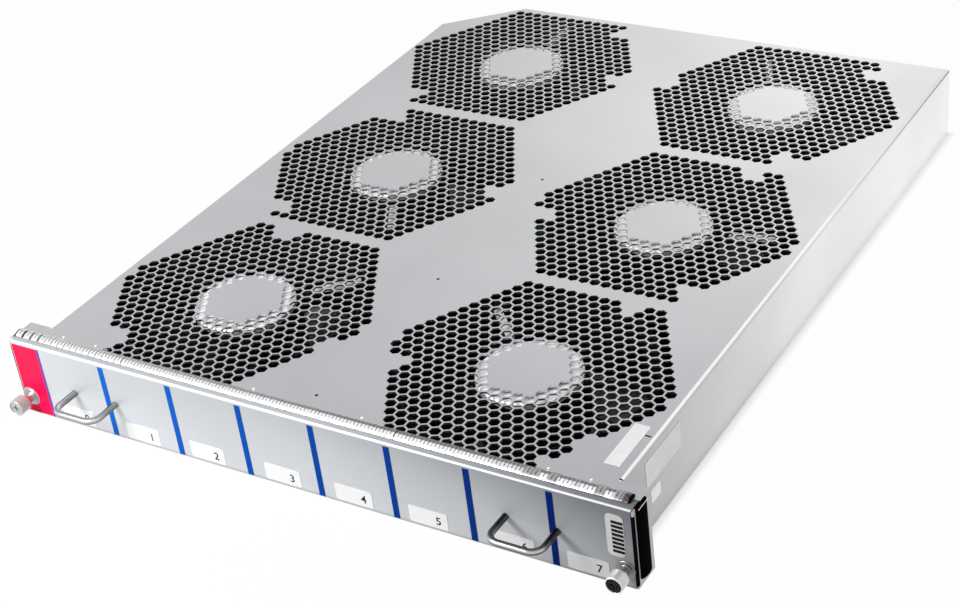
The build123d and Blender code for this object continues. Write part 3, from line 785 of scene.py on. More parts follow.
class FanTrayFront(bpy.types.PropertyGroup):
    """Sizes of the front panel and what it carries."""

    bend: size("Panel bend", "Outer radius of the panel's bends", PANEL_BEND)
    finger_pitch: size("Finger pitch", "From one spring finger to the next", 4.75 * MM)
    finger_slit: size("Finger slit", "Gap between two spring fingers", 0.3 * MM)
    finger_slot: size("Finger slot", "Width of the slot in each spring finger", 0.5 * MM)
    handle_rod: size("Handle rod", "Thickness of a handle's rod", 4 * MM)
    handle_bend: size("Handle bend", "Bend radius of a handle, at the rod's middle", 7 * MM)
    digit_height: size("Digit height", "Height of the numbers on the slot labels", 5.2 * MM)


class FanTrayFans(bpy.types.PropertyGroup):
    """Sizes of the fans."""

    blades: count("Blades", "Blades on each rotor", 5)
    blade_sheet: size("Blade thickness", "Thickness of a blade at its middle", 2 * MM)
    blade_root: size("Root chord", "Length of a blade from edge to edge at its root", 28 * MM)
    blade_tip: size("Tip chord", "Length of a blade from edge to edge at its tip", 46 * MM)
    strut_width: size("Strut width", "Width of the struts that carry a motor", 6 * MM)


class FanTrayColours(bpy.types.PropertyGroup):
    """Colours of the finishes, and the painted light and shade on them."""

    # Painted reflection: the cover's three tones grow lighter from its right front to its right rear.
    sheet: tint("Sheet, front", "Top cover at its right front", 0.445, 0.45, 0.472)
    sheet_middle: tint("Sheet, middle", "Top cover half way to its right rear", 0.6, 0.605, 0.62)
    sheet_rear: tint("Sheet, rear", "Top cover at its right rear", 0.83, 0.84, 0.85)
    # Painted reflection: the pan lighter from front to rear.
    wall: tint("Wall, front", "Pan and brackets at the front", 0.47)
    wall_middle: tint("Wall, middle", "Pan at its middle", 0.86)
    wall_rear: tint("Wall, rear", "Pan at its rear", 1.0)
    # Painted light and shade: the panel's tones fade from light at its left end to shade at its right end.
    panel: tint("Panel, left", "Front panel at its left end", 0.655, 0.68, 0.706)
    panel_middle: tint("Panel, middle", "Front panel left of its middle", 0.54, 0.562, 0.584)
    panel_right: tint("Panel, right of middle", "Front panel right of its middle", 0.438, 0.455, 0.478)
    panel_shade: tint("Panel, right", "Front panel at its right end", 0.24, 0.255, 0.286)
    # Painted highlight on the panel's top bend and on the cover's side folds.
    bend_line: tint("Bend line", "Bright line on bends", 0.96)
    strip: tint("Strip", "Spring finger strips", 0.92)
    # Painted reflection: the fingers' crowns darker than their slopes.
    crown: tint("Strip crown, left", "Top of the spring fingers at the left", 0.7)
    crown_shade: tint("Strip crown, right", "Top of the spring fingers at the right", 0.22)
    # Painted shade at the strips' right end, mottled brown.
    rust: tint("Strip end", "Tarnished right end of the spring strips", 0.13, 0.1, 0.09)
    # Painted shade under the fingers.
    foot: tint("Strip foot", "Feet of the spring strips", 0.42)
    # Painted light and shade: the left handle lit, the right one in shade.
    wire: tint("Wire, left", "Left handle", 0.72, 0.72, 0.73)
    wire_shade: tint("Wire, right", "Right handle", 0.6)
    screw: tint("Screw", "Screws and ferrules", 0.5)
    stud: tint("Stud", "Studs and nuts", 0.42)
    knob: tint("Knob", "Captive screw knobs", 0.9)
    # Painted shade on the right knob's front.
    recess: tint("Recess", "Recessed front of the right knob", 0.015)
    foam: tint("Foam", "Side gaskets", 0.003)
    # The fan frames' near black also serves as painted shade inside the pan.
    frame: tint("Fan frame", "Moulded fan frames, and the pan's inner coat", 0.006, 0.006, 0.007)
    rotor: tint("Rotor", "Moulded rotors and the rear connector", 0.004, 0.004, 0.005)
    cap: tint("Motor cap", "End discs of the motors", 0.95, 0.95, 0.96)
    sleeve: tint("Lead sleeve", "Channels of the motor leads", 0.92)
    bronze: tint("Bronze", "Bearings and standoffs", 0.5, 0.33, 0.14)
    contact: tint("Contact", "Contacts in the rear connector", 0.75, 0.55, 0.2)
    board: tint("Board", "Fan control board", 0.02, 0.14, 0.06)
    red: tint("Red", "End label, lower part", 0.87, 0.0, 0.06)
    red_top: tint("Red, upper", "End label, upper part", 0.95, 0.006, 0.055)
    edge_line: tint("Edge line", "Thin line beside the end label", 0.13, 0.05, 0.3)
    blue: tint("Blue, left", "Stripes at the left end", 0.005, 0.1, 0.45)
    blue_middle: tint("Blue, middle", "Stripes in the middle", 0.0, 0.047, 0.28)
    blue_shade: tint("Blue, right", "Stripes at the right end", 0.0, 0.005, 0.1)
    paper: tint("Paper", "Slot, side and cover labels", 0.93)
    paper_shade: tint("Paper, right", "Labels at the panel's right end", 0.55)
    ink: tint("Ink", "Numbers and bars", 0.01, 0.01, 0.011)


class FanTrayStage(bpy.types.PropertyGroup):
    """The camera, the lamp and the floor."""

    camera_place: FloatVectorProperty(
        name="Camera place",
        description="Where the camera stands",
        default=(0.59464, -0.90549, 0.66735),
        subtype="TRANSLATION",
    )
    camera_turn: FloatVectorProperty(
        name="Camera turn",
        description="How the camera is turned",
        default=(radians(57.275), radians(5.51), radians(29.419)),
        subtype="EULER",
    )
    lens: amount("Lens", "Focal length in millimetres", 71.75)
    shift: amount("Shift", "Sideways shift, in image widths", -0.0582)
    floor_half: size("Floor", "Half the floor's side", 6.0)
    near_power: amount("Near lamp", "Power of the lamp at the left front, in watts", 4.6)
    near_width: size("Near lamp's width", "Width of the lamp at the left front", 0.24)
    sky: amount("Sky", "Strength of the sky's light", 0.18)
    floor_white: amount("Floor white", "Share of plain white in the floor", 0.98)


SETTINGS = {
    "fan_tray_cover": FanTrayCover,
    "fan_tray_front": FanTrayFront,
    "fan_tray_fans": FanTrayFans,
    "fan_tray_colours": FanTrayColours,
    "fan_tray_stage": FanTrayStage,
}


# Cover and pan


def body_path(front):
    """The body's outline from the right front corner round the back to the left front corner."""
    across, down = CORNER_CUT
    return np.array(
        [
            (BODY_HALF, front),
            (BODY_HALF, REAR_Y),
            (across - BODY_HALF, REAR_Y),
            (-BODY_HALF, REAR_Y - down),
            (-BODY_HALF, front),
        ]
    )


def hole_middles(number, cover):
    """Middles of one fan's holes. Cell (a, b) lies a plus half b pitches along X and b rows along Y."""
    steps = np.arange(-cover.rings, cover.rings + 1)
    a, b = (axis.ravel() for axis in np.meshgrid(steps, steps))
    middles = np.stack([a + b / 2, b * sqrt(3) / 2], -1)
    tips = (b == 0) & (abs(a) == cover.rings)
    if number == LEFT_TIP_FAN:
        tips &= a > 0
    punched = (abs(a + b) <= cover.rings) & ~tips
    blanks = [((0, 0), cover.hub_blank), *((land, cover.land) for land in LANDS[number])]
    if number in BLANK_HOLES:
        blanks.append((BLANK_HOLES[number], cover.hole_pitch / 3))
    for place, radius in blanks:
        punched &= np.hypot(*(middles - place).T) * cover.hole_pitch >= radius
    return hub_place(number) + middles[punched] * cover.hole_pitch


def hexagons(middles, flats):
    """Corners of upright hexagons, each sixth turn at the flats over the root of three from a middle."""
    turns = pi / 2 + np.arange(6) * pi / 3
    return middles[:, None] + flats / sqrt(3) * np.stack([np.cos(turns), np.sin(turns)], -1)


def cover_shape(cover):
    """The cover: a cut sheet whose side and rear edges are folded down through a quarter circle.

    Going down the fold, the edge moves out by the radius times the sine of the angle and down by the radius
    less the radius times its cosine, then in by the sheet's thickness and up to its underside. The wings'
    edges go straight down. A relief notch parts each wing from the fold.
    """
    notch, notch_depth = 1.6 * MM, 2.2 * MM
    notch_x = BODY_HALF - notch_depth
    wing_edge = WING_BACK + 1.2 * MM
    path = body_path(wing_edge + notch)
    inward = outline_offsets(path)
    radius = cover.fold_radius
    wing = np.array(
        [
            (WING_HALF, FRONT_JOINT),
            (WING_HALF, wing_edge),
            (notch_x, wing_edge),
            (notch_x, wing_edge + notch),
        ]
    )
    outline = np.vstack([path + radius * inward, wing[::-1] * (-1, 1), wing])
    outward = np.vstack([-inward, np.zeros((2 * len(wing), 2))])
    slot = rectangle(190.8, 59.3, 194.3, 60.5) * MM + (0, FACE_Y)
    holes = [loop for number in LANDS for loop in hexagons(hole_middles(number, cover), cover.hole_flats)]
    points, triangles, edges = cut_flat(outline, [slot, *holes])
    total = len(points)
    rim = len(outline)
    folded = np.hypot(*outward.T) > 0
    inner = outline + (radius - SHEET) * outward
    rings = []
    for angle in np.radians(np.linspace(0, 90, 9)):
        ring = outline + radius * sin(angle) * outward
        drop = np.where(folded, radius * (1 - cos(angle)), SHEET * angle / (pi / 2))
        rings.append(np.insert(ring, 2, TOP_Z - drop, axis=1))
    rings.append(np.insert(inner, 2, rings[-1][:, 2], axis=1))
    rings.append(np.insert(inner, 2, COVER_LOW.z, axis=1))
    fold = np.vstack(rings), grid_faces(len(rings), rim, False, True)
    top = np.insert(points, 2, TOP_Z, axis=1)
    bottom = np.insert(np.vstack([inner, points[rim:]]), 2, COVER_LOW.z, axis=1)
    faces = triangles + [[total + n for n in reversed(face)] for face in triangles]
    faces += [[total + a, total + b, b, a] for a, b in edges if a >= rim]
    return joined([(np.vstack([top, bottom]), faces), fold])


def pan_shape(fold):
    """The pan: a wall profile carried round the body's outline, and a floor with a round intake per fan.

    The profile goes round the outer bend, up the wall, over its rim, down inside and round the inner bend.
    The rear wall is open where the profile's and the outline's extra points meet, and four quads line that
    opening.
    """
    bend = 1.6 * MM
    rim = TOP_Z - fold
    opening_half, opening_rise = 23.2 * MM, 6.2 * MM
    level = middle_of("rear_connector")[2]
    sill, lintel = level - opening_rise, level + opening_rise
    outer = arc((bend, bend), bend, 270, 180, 6)
    up = [(0, sill), (0, lintel), (0, rim)]
    down = [(SHEET, rim), (SHEET, lintel), (SHEET, sill)]
    inner = arc((bend, bend), bend - SHEET, 180, 270, 4)
    profile = np.vstack([outer, up, down, inner])
    path = np.insert(body_path(PAN_LOW.y), 2, [(opening_half, REAR_Y), (-opening_half, REAR_Y)], axis=0)
    inward = outline_offsets(path)
    corners = len(path)
    rings = [np.insert(path + inset * inward, 2, height, axis=1) for inset, height in profile]
    wall = np.vstack(rings)
    opening_corner = 2
    outer_start = len(outer) * corners + opening_corner
    inner_start = (len(outer) + len(up) + 1) * corners + opening_corner
    outer_loop = [outer_start + n for n in (0, 1, corners + 1, corners)]
    inner_loop = [inner_start + n for n in (corners, corners + 1, 1, 0)]
    open_faces = (set(outer_loop), set(inner_loop))
    faces = [face for face in grid_faces(len(rings), corners) if set(face) not in open_faces]
    for n in range(4):
        after = (n + 1) % 4
        faces.append([outer_loop[n], outer_loop[after], inner_loop[after], inner_loop[n]])
    intake = 74 * MM
    circles = [circle(hub_place(number), intake, 96) for number in LANDS]
    floor, triangles, edges = cut_flat(path + bend * inward, circles)
    loops = floor[corners:]
    last = (len(rings) - 1) * corners
    below = len(wall) + np.arange(len(loops))
    low_number = np.concatenate([np.arange(corners), below])
    high_number = np.concatenate([last + np.arange(corners), below + len(loops)])
    faces += low_number[np.array(triangles)[:, ::-1]].tolist()
    faces += high_number[np.array(triangles)].tolist()
    rims = np.array([edge for edge in edges if edge[0] >= corners])
    faces += np.hstack([low_number[rims], high_number[rims[:, ::-1]]]).tolist()
    faces.append([0, last, last + corners - 1, corners - 1])
    for end in (0, corners - 1):
        faces.append([ring * corners + end for ring in range(len(rings))])
    return np.vstack([wall, *(np.insert(loops, 2, height, axis=1) for height in (0.0, SHEET))]), faces


def coat_inside(piece, finish, fold):
    """Gives the pan's inner faces a second finish, near black, painted shade: those above the floor's middle
    and in from the walls'.

    A face is in from the walls when its centre is farther than half the sheet from the sides and from the
    rear, and at the cut corner from the line x over the cut's width plus y over its depth. The rim has it
    too.
    """
    mesh = piece.data
    mesh.materials.append(materials[finish])
    x, y, z = np.array([face.center[:] for face in mesh.polygons]).T
    across, down = CORNER_CUT
    to_corner = (x + BODY_HALF) / across + (REAR_Y - y) / down - 1
    to_corner *= across * down / np.hypot(across, down)
    inset = np.minimum(np.minimum(BODY_HALF - abs(x), REAR_Y - y), to_corner)
    rim = TOP_Z - fold - 0.01 * MM
    dark = (z > SHEET / 2) & (inset > SHEET / 2) | (z > rim)
    mesh.polygons.foreach_set("material_index", dark.astype(np.int32))


class FANTRAY_OT_cover(bpy.types.Operator):
    """Builds the honeycomb cover, its stud heads and the marks along its middle"""

    bl_idname = "fan_tray.cover"
    bl_label = "Cover"

    def execute(self, context):
        cover = context.scene.fan_tray_cover
        add_piece("honeycomb_cover", cover_shape(cover), "tray", "sheet", ["top_cover"])
        head = lathe(mm((0, 0.16), (1.2, 0.14), (1.8, 0.06), (2.1, 0)), 20)
        heads = [moved(head, x, y, TOP_Z) for number in LANDS for x, y in stud_places(number)]
        add_piece("stud_heads", joined(heads), "tray", "sheet", smooth=60)
        mark = lathe(mm((0, 0.1), (0.8, 0.1), (1.0, 0)), 16)
        mark_x, mark_rows = 0.8, (23.5, 154.5, 286)
        marks = [moved(mark, mark_x * MM, FACE_Y + y * MM, TOP_Z) for y in mark_rows]
        add_piece("centre_marks", joined(marks), "tray", "print_ink")
        return {"FINISHED"}


class FANTRAY_OT_pan(bpy.types.Operator):
    """Builds the folded pan, and finishes the brackets and the rib"""

    bl_idname = "fan_tray.pan"
    bl_label = "Pan"

    def execute(self, context):
        fold = context.scene.fan_tray_cover.fold_radius
        pan = add_piece("folded_pan", pan_shape(fold), "tray", "wall", ["body_pan"])
        # Painted shade inside the pan and on the rib.
        coat_inside(pan, "shading", fold)
        finish_nodes("wall", "wing_bracket_left", "wing_bracket_right")
        finish_nodes("shading", "cover_rib")
        return {"FINISHED"}


# Front panel


def panel_profile(bend):
    """The panel's section in Y and Z: face, top and bottom flanges, and the bends between them as arcs."""
    foot = 0.5 * MM
    heel = PANEL_SHEET + 0.2 * MM
    sill = PAN_LOW.y
    steps = 8
    bend_middle = (FACE_Y + bend, TOP_Z - bend)
    return np.vstack(
        [
            arc((FACE_Y + foot, foot), foot, 270, 180, steps),
            arc(bend_middle, bend, 180, 90, steps),
            [(FRONT_JOINT, TOP_Z), (FRONT_JOINT, TOP_Z - PANEL_SHEET)],
            arc(bend_middle, bend - PANEL_SHEET, 90, 180, steps),
            arc((FACE_Y + heel, heel), heel - PANEL_SHEET, 180, 270, steps),
            [(sill, PANEL_SHEET), (sill, 0)],
        ]
    )


def tab_places():
    """Where each tab stands along X."""
    return [side * offset * MM for offset in (37.5, 156.3, 181.9) for side in SIDES.values()]


def tab_shapes():
    """The tabs that step down from the panel's top flange and reach under the cover."""
    under = COVER_LOW.z
    low = under - PANEL_SHEET
    half = 8 * MM
    reach = FACE_Y + 18.5 * MM
    step = FRONT_JOINT - PANEL_SHEET
    shelf = [(step, TOP_Z), (FRONT_JOINT, TOP_Z)]
    loop = [*shelf, (FRONT_JOINT, under), (reach, under), (reach, low), (step, low)]
    return [prism(loop, x - half, x + half, 0) for x in tab_places()]


def finger_curve():
    """A finger's middle line in Y and Z: curled under in front, arched, and sloping to the cover."""
    curl = ((5.6, 0.2), (4.95, 0.3), (4.7, 0.6), (5.2, 1.1))
    arch = ((6.1, 1.6), (7.0, 1.98), (8.2, 2.25), (9.6, 2.2))
    slope = ((10.8, 1.75), (11.8, 1.1), (12.7, 0.5))
    return mm(*curl, *arch, *slope) + (FACE_Y, TOP_Z)


def finger_strip_shape(number, front):
    """One length of spring strip's fingers, which arch over the joint, each with a slot in its middle.

    A finger is a grid. Across it the columns are its edges and the slot's edges. Along it the rows follow the
    finger's section. A seeded generator lowers each finger's height above the panel by up to 6 hundredths, as
    fingers take a set.
    """
    low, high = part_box(f"finger_strip_{number}")
    y, z = finger_curve().T
    fingers = int((high.x - low.x) / front.finger_pitch)
    half = (front.finger_pitch - front.finger_slit) / 2
    slot = front.finger_slot / 2
    generator = np.random.default_rng(number)
    set_height = np.repeat(1 - 0.06 * generator.random(fingers), 4)[:, None]
    z = TOP_Z + (z - TOP_Z) * set_height
    middles = low.x + (high.x - low.x) * (np.arange(fingers) + 0.5) / fingers
    x = (middles[:, None] + np.array([-half, -slot, slot, half])).ravel()
    points = np.stack(np.broadcast_arrays(x[:, None], y, z), -1).reshape(-1, 3)
    rows = len(y)
    slot_rows = (4, 5, 6)
    faces = []
    for face in grid_faces(len(x), rows):
        column, row = divmod(face[0], rows)
        between_fingers = column % 4 == 3
        in_slot = column % 4 == 1 and row in slot_rows
        if not (between_fingers or in_slot):
            faces.append(face)
    return points, faces


def strip_foot_shape(number):
    """The foot of one length of spring strip: a flat band under its fingers."""
    low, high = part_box(f"finger_strip_{number}")
    front, back = FACE_Y + 5.2 * MM, FACE_Y + 7.2 * MM
    thickness = 0.3 * MM
    return prism(rectangle(front, low.z, back, low.z + thickness), low.x, high.x, 0)


def end_stop_shape(x):
    """A thin dark plate with the outline of a finger, at one end of the strips: painted shade where they end.
    """
    foot = mm((12.4, 0.05), (4.9, 0.05)) + (FACE_Y, TOP_Z)
    half = 0.35 * MM
    return prism(np.vstack([foot, finger_curve()[2:]]), x - half, x + half, 0)


def thicken(piece, thickness):
    """Gives an open surface its wall, half to each side."""
    wall = piece.modifiers.new("wall", "SOLIDIFY")
    wall.thickness = thickness
    wall.offset = 0.0
    edges = piece.modifiers.new("edges", "EDGE_SPLIT")
    edges.split_angle = radians(50)


class FANTRAY_OT_panel(bpy.types.Operator):
    """Builds the front panel with its tabs"""

    bl_idname = "fan_tray.panel"
    bl_label = "Front panel"

    def execute(self, context):
        profile = panel_profile(context.scene.fan_tray_front.bend)
        shape = joined([prism(profile, PANEL_LOW.x, PANEL_HIGH.x, 0), *tab_shapes()])
        add_piece("panel_sheet", shape, "tray", "panel", ["front_panel"])
        dimple = lathe(mm((0, 0.5), (0.4, 0.45), (0.65, 0.25), (0.8, 0)), 14)
        dimples = [moved(dimple, x, FACE_Y + 15.3 * MM, TOP_Z) for x in tab_places()]
        add_piece("tab_dimples", joined(dimples), "tray", "bright", smooth=60)
        return {"FINISHED"}


class FANTRAY_OT_strips(bpy.types.Operator):
    """Builds the spring finger strips"""

    bl_idname = "fan_tray.strips"
    bl_label = "Finger strips"

    def execute(self, context):
        front = context.scene.fan_tray_front
        for number in (1, 2, 3, 4):
            shape = finger_strip_shape(number, front)
            node = f"finger_strip_{number}"
            piece = add_piece(f"spring_strip_{number}", shape, "tray", "strip", [node], 50)
            thicken(piece, 0.25 * MM)
            foot = strip_foot_shape(number)
            add_piece(f"strip_foot_{number}", foot, "tray", "foot", [node])
        # Painted shade: a dark plate at each end of the strips.
        ends = (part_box("finger_strip_1")[0].x + 0.3 * MM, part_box("finger_strip_4")[1].x)
        stops = [end_stop_shape(x) for x in ends]
        add_piece("strip_shade_plates", joined(stops), "tray", "foam", smooth=30)
        return {"FINISHED"}


class FANTRAY_OT_gaskets(bpy.types.Operator):
    """Builds the foam gaskets at the panel's ends, with a painted shade strip and a painted highlight strip
    """

    bl_idname = "fan_tray.gaskets"
    bl_label = "Gaskets"

    def execute(self, context):
        self.build("left", bulge_power=1.0, skin=0.1 * MM)
        self.build("right", bulge_power=0.5, skin=0.02 * MM)
        return {"FINISHED"}

    def build(self, side_name, bulge_power, skin):
        """One end's pieces. The foam bulges by a sine to a power, and the dark strip stands a skin proud."""
        side = SIDES[side_name]
        low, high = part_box(f"side_gasket_{side_name}")
        inner, outer = (low.x, high.x)[::side]
        lip = 1.2 * MM
        top = TOP_Z - lip
        wall = inner - side * lip
        bulge = np.sin(np.linspace(0, pi, 13)) ** bulge_power
        loop = np.stack([inner + bulge * (outer - inner), np.linspace(low.y, high.y, 13)], -1)
        cap = prism(rectangle(wall, low.y, inner, FRONT_JOINT), high.z, top, 2)
        shape = joined([prism(loop, low.z, top, 2), cap])
        foam = add_piece(f"foam_{side_name}", shape, "tray", "foam", [f"side_gasket_{side_name}"], 50)
        # Painted shade: a black strip in the gap at the panel's end, where there is only shade.
        section = rectangle(wall, FACE_Y + 0.3 * MM, inner + skin, FACE_Y + 2.3 * MM)
        gap_shade = prism(section, 1.6 * MM, TOP_Z - 4.3 * MM, 2)
        add_piece(f"edge_gap_shade_{side_name}", gap_shade, "tray", "foam")
        # Painted highlight: a thin bright strip along the foam's top outer edge.
        section = rectangle(outer - side * 0.1 * MM, low.y, outer, high.y - 1.5 * MM)
        clip = prism(section, top - 0.3 * MM, top + 0.1 * MM, 2)
        add_piece(f"gasket_edge_highlight_{side_name}", clip, "tray", "bright")


def handle_path(low, high, front):
    """The middle line of a handle's rod: a leg, a quarter circle, the bar, a quarter circle and a leg."""
    rod = front.handle_rod / 2
    bend = front.handle_bend
    near = low.x + rod
    far = high.x - rod
    bend_y = low.y + rod + bend
    left_bend = arc((near + bend, bend_y), bend, 180, 270, 10)
    right_bend = arc((far - bend, bend_y), bend, 270, 360, 10)
    flat = np.vstack([[(near, high.y)], left_bend, right_bend, [(far, high.y)]])
    return np.insert(flat, 2, (low.z + high.z) / 2, axis=1)


class FANTRAY_OT_handles(bpy.types.Operator):
    """Builds the wire handles"""

    bl_idname = "fan_tray.handles"
    bl_label = "Handles"

    def execute(self, context):
        front = context.scene.fan_tray_front
        for side in SIDES:
            node = f"handle_{side}"
            shape = tube(handle_path(*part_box(node), front), front.handle_rod / 2, 20, (0, 0, 1))
            add_piece(f"wire_{side}", shape, "tray", "wire", [node], 60)
        return {"FINISHED"}


# Captive screws. Their shapes are built about Z, looking up, and laid forwards. The neck is a ferrule's, and
# the bore is its and the washer's.

NECK = 3.0 * MM
BORE = 1.6 * MM


def cross_loop(reach, width):
    """The outline of a cross drive."""
    half = width / 2
    quarter = np.array([(half, half), (half, reach), (-half, reach)])
    loop = [quarter @ np.array([[cos(t), sin(t)], [-sin(t), cos(t)]]) for t in np.arange(4) * pi / 2]
    return np.vstack(loop)


def knob_shapes(knob, front, length):
    """A knob of a radius and a length with its front at a height: its turned body and its recessed face."""
    wall = 1.2 * MM
    rim = knob - 0.75 * MM
    recess = front - 0.5 * MM
    floor = front - 1.5 * MM
    edge = 0.35 * MM
    back = front - length
    body = [
        (rim, recess),
        (rim, front - 0.1 * MM),
        (rim + 0.1 * MM, front),
        (knob - edge, front),
        (knob, front - edge),
        (knob, back + edge),
        (knob - edge, back),
        (knob - wall, back),
        (knob - wall, floor),
        (0, floor),
    ]
    face = sheet(circle((0, 0), rim, 40), [cross_loop(2.3 * MM, 1.0 * MM)], floor + 0.05 * MM, recess)
    return lathe(body, 40), face


def ferrule_profile(flange, nose, back):
    """A ferrule's section: a neck from its nose, a flange on the panel's face, and the neck to its back."""
    face = -FACE_Y
    chamfer = 0.3 * MM
    shoulder = face + 1.0 * MM
    return [
        (BORE, nose),
        (NECK - chamfer, nose),
        (NECK, nose - chamfer),
        (NECK, shoulder + chamfer),
        (NECK + chamfer, shoulder),
        (flange - chamfer, shoulder),
        (flange, shoulder - chamfer),
        (flange, face),
        (NECK, face),
        (NECK, back),
        (BORE, back),
    ]


def screw_profile(thread, front, start, end):
    """A screw's section: a plain shank, and from start a thread, its crests and roots half a pitch apart."""
    shank = 1.5 * MM
    root = thread - 0.42 * MM
    half_pitch = 0.35 * MM
    relief, taper = 0.4 * MM, 1.2 * MM
    turns = np.arange(start - relief, end + taper, -half_pitch)
    crests = np.where(np.arange(len(turns)) % 2 == 0, thread, root)
    plain = [(0, front), (shank, front), (shank, start), (root, start)]
    tip = [(thread * 0.6, end), (0, end)]
    return np.vstack([plain, np.stack([crests, turns], -1), tip])


def spring_path(x, z, front, back):
    """A spring's wire about an axis along Y: a helix that is level for the closed turns at both ends."""
    radius = NECK - 0.6 * MM
    turns, closed = 2.5, 0.4
    turn = np.linspace(0, turns, 81)
    y = front + (back - front) * np.clip((turn - closed) / (turns - 2 * closed), 0, 1)
    angle = 2 * pi * turn
    return np.stack([x + radius * np.cos(angle), y, z + radius * np.sin(angle)], -1)


class FANTRAY_OT_screws(bpy.types.Operator):
    """Builds the captive screws: ferrule, knob, screw, washer and spring on each side"""

    bl_idname = "fan_tray.screws"
    bl_label = "Captive screws"

    def execute(self, context):
        for side in SIDES:
            self.build(side)
        return {"FINISHED"}

    def build(self, side):
        """One side's pieces. The spring gets a mesh of its own."""
        knob, screw, washer, ferrule, spring = (
            f"{kind}_{side}"
            for kind in ("screw_knob", "captive_screw", "thrust_washer", "screw_ferrule", "screw_spring")
        )
        knob_low, knob_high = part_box(knob)
        screw_low, screw_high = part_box(screw)
        washer_low, washer_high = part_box(washer)
        ferrule_low, ferrule_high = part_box(ferrule)
        x, _, z = middle_of(knob)
        screw_body = f"{side}_screw"

        def laid(shape):
            """A shape laid forwards on the screw's axis."""
            return moved(laid_forwards(shape), x, 0, z)

        body, face = knob_shapes(radius_of(knob), -knob_low.y, knob_high.y - knob_low.y)
        add_piece(f"knob_{side}", laid(body), screw_body, "knob", [knob], 40)
        add_piece(f"knob_front_{side}", laid(face), screw_body, f"recess_{side}", smooth=40)

        shape = lathe(ferrule_profile(radius_of(ferrule), -ferrule_low.y, -ferrule_high.y), 40, True)
        add_piece(f"ferrule_{side}", laid(shape), "tray", "screw", [ferrule])

        play = 0.05 * MM
        profile = screw_profile(radius_of(screw), -screw_low.y, -ferrule_high.y - play, -screw_high.y)
        add_piece(f"screw_{side}", laid(lathe(profile, 24)), screw_body, "screw", [screw])

        shape = lathe(rectangle(BORE, -washer_high.y, radius_of(washer), -washer_low.y), 32, True)
        add_piece(f"washer_{side}", laid(shape), f"{side}_washer", "screw", [washer])

        wire = 0.3 * MM
        path = spring_path(x, z, washer_high.y + wire, ferrule_low.y - wire)
        shape = tube(path, wire, 8, (0, 1, 0))
        piece = add_piece(f"spring_{side}", shape, "tray", "screw", [spring], 60)
        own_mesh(piece)


# Labels


def number_mesh(text, height):
    """A plain number as a thin mesh standing upright, facing forwards, its middle at the origin."""
    digit_share = 0.7
    curve = bpy.data.curves.new(f"number_{text}", "FONT")
    curve.body = text
    curve.size = height / digit_share
    curve.extrude = 0.02 * MM
    curve.offset = 0.1 * MM
    curve.align_x = "CENTER"
    curve.align_y = "CENTER"
    holder = bpy.data.objects.new("number", curve)
    bpy.context.scene.collection.objects.link(holder)
    bpy.context.view_layer.update()
    mesh = bpy.data.meshes.new_from_object(holder.evaluated_get(bpy.context.evaluated_depsgraph_get()))
    shape = mesh_points(mesh), [list(face.vertices) for face in mesh.polygons]
    bpy.data.objects.remove(holder)
    bpy.data.curves.remove(curve)
    bpy.data.meshes.remove(mesh)
    return laid_forwards(shape)


def slot_label_boxes():
    """The box of each slot label, read from the loose islands of their node, from left to right."""
    points = mesh_points(frame["nodes"]["slot_labels"].data)
    edges = np.sort(np.unique(points[:, 0].round(5)))
    _, low_y, low_z = points.min(axis=0)
    _, high_y, high_z = points.max(axis=0)
    return [((a, low_y, low_z), (b, high_y, high_z)) for a, b in zip(edges[0::2], edges[1::2])]


def rounded_label(low, high, radius):
    """An upright label that fills a box, its corners rounded to a radius."""
    left, right = low[0] + radius, high[0] - radius
    bottom, top = low[2] + radius, high[2] - radius
    middles = ((right, bottom, 270), (right, top, 0), (left, top, 90), (left, bottom, 180))
    loop = [arc((x, z), radius, start, start + 90, 6) for x, z, start in middles]
    return prism(np.vstack(loop), low[1], high[1], 1)


def bar_shapes(low, high):
    """The bars of the bar label, one above another at an even pitch."""
    left = low.x + 3.2 * MM
    right = high.x - 0.3 * MM
    thickness = 1.9 * MM
    pitch = 2.75 * MM
    levels = np.arange(low.z + 2.6 * MM, high.z - 5.4 * MM, pitch)
    loops = [rectangle(left, z, right, z + thickness) for z in levels]
    return [prism(loop, low.y - 0.03 * MM, low.y + 0.01 * MM, 1) for loop in loops]


class FANTRAY_OT_labels(bpy.types.Operator):
    """Finishes the films and labels, and prints the slot numbers and the bars"""

    bl_idname = "fan_tray.labels"
    bl_label = "Labels"

    def execute(self, context):
        front = context.scene.fan_tray_front
        finish_nodes("paper", "cover_label", "side_label")
        finish_nodes("tag", "side_tag")
        finish_nodes("red_film", "red_label")
        finish_nodes("blue_film", "slot_stripes")
        boxes = slot_label_boxes()
        slot_corner, bar_corner = 1.0 * MM, 3.0 * MM
        papers = [rounded_label(low, high, slot_corner) for low, high in boxes]
        add_piece("slot_papers", joined(papers), "tray", "slip", ["slot_labels"])
        digits = []
        inset, drop = 6.0 * MM, 0.8 * MM
        for number, (low, high) in enumerate(boxes):
            x = high[0] - inset
            z = (low[2] + high[2]) / 2 - drop
            digits.append(moved(number_mesh(str(number), front.digit_height), x, low[1], z))
        add_piece("slot_numbers", joined(digits), "tray", "print_ink", smooth=30)
        low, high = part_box("bar_label")
        paper = rounded_label(low, high, bar_corner)
        add_piece("bar_paper", paper, "tray", "slip", ["bar_label"])
        add_piece("label_bars", joined(bar_shapes(low, high)), "tray", "print_ink")
        return {"FINISHED"}


# Fans

RING_INNER = 74.5 * MM


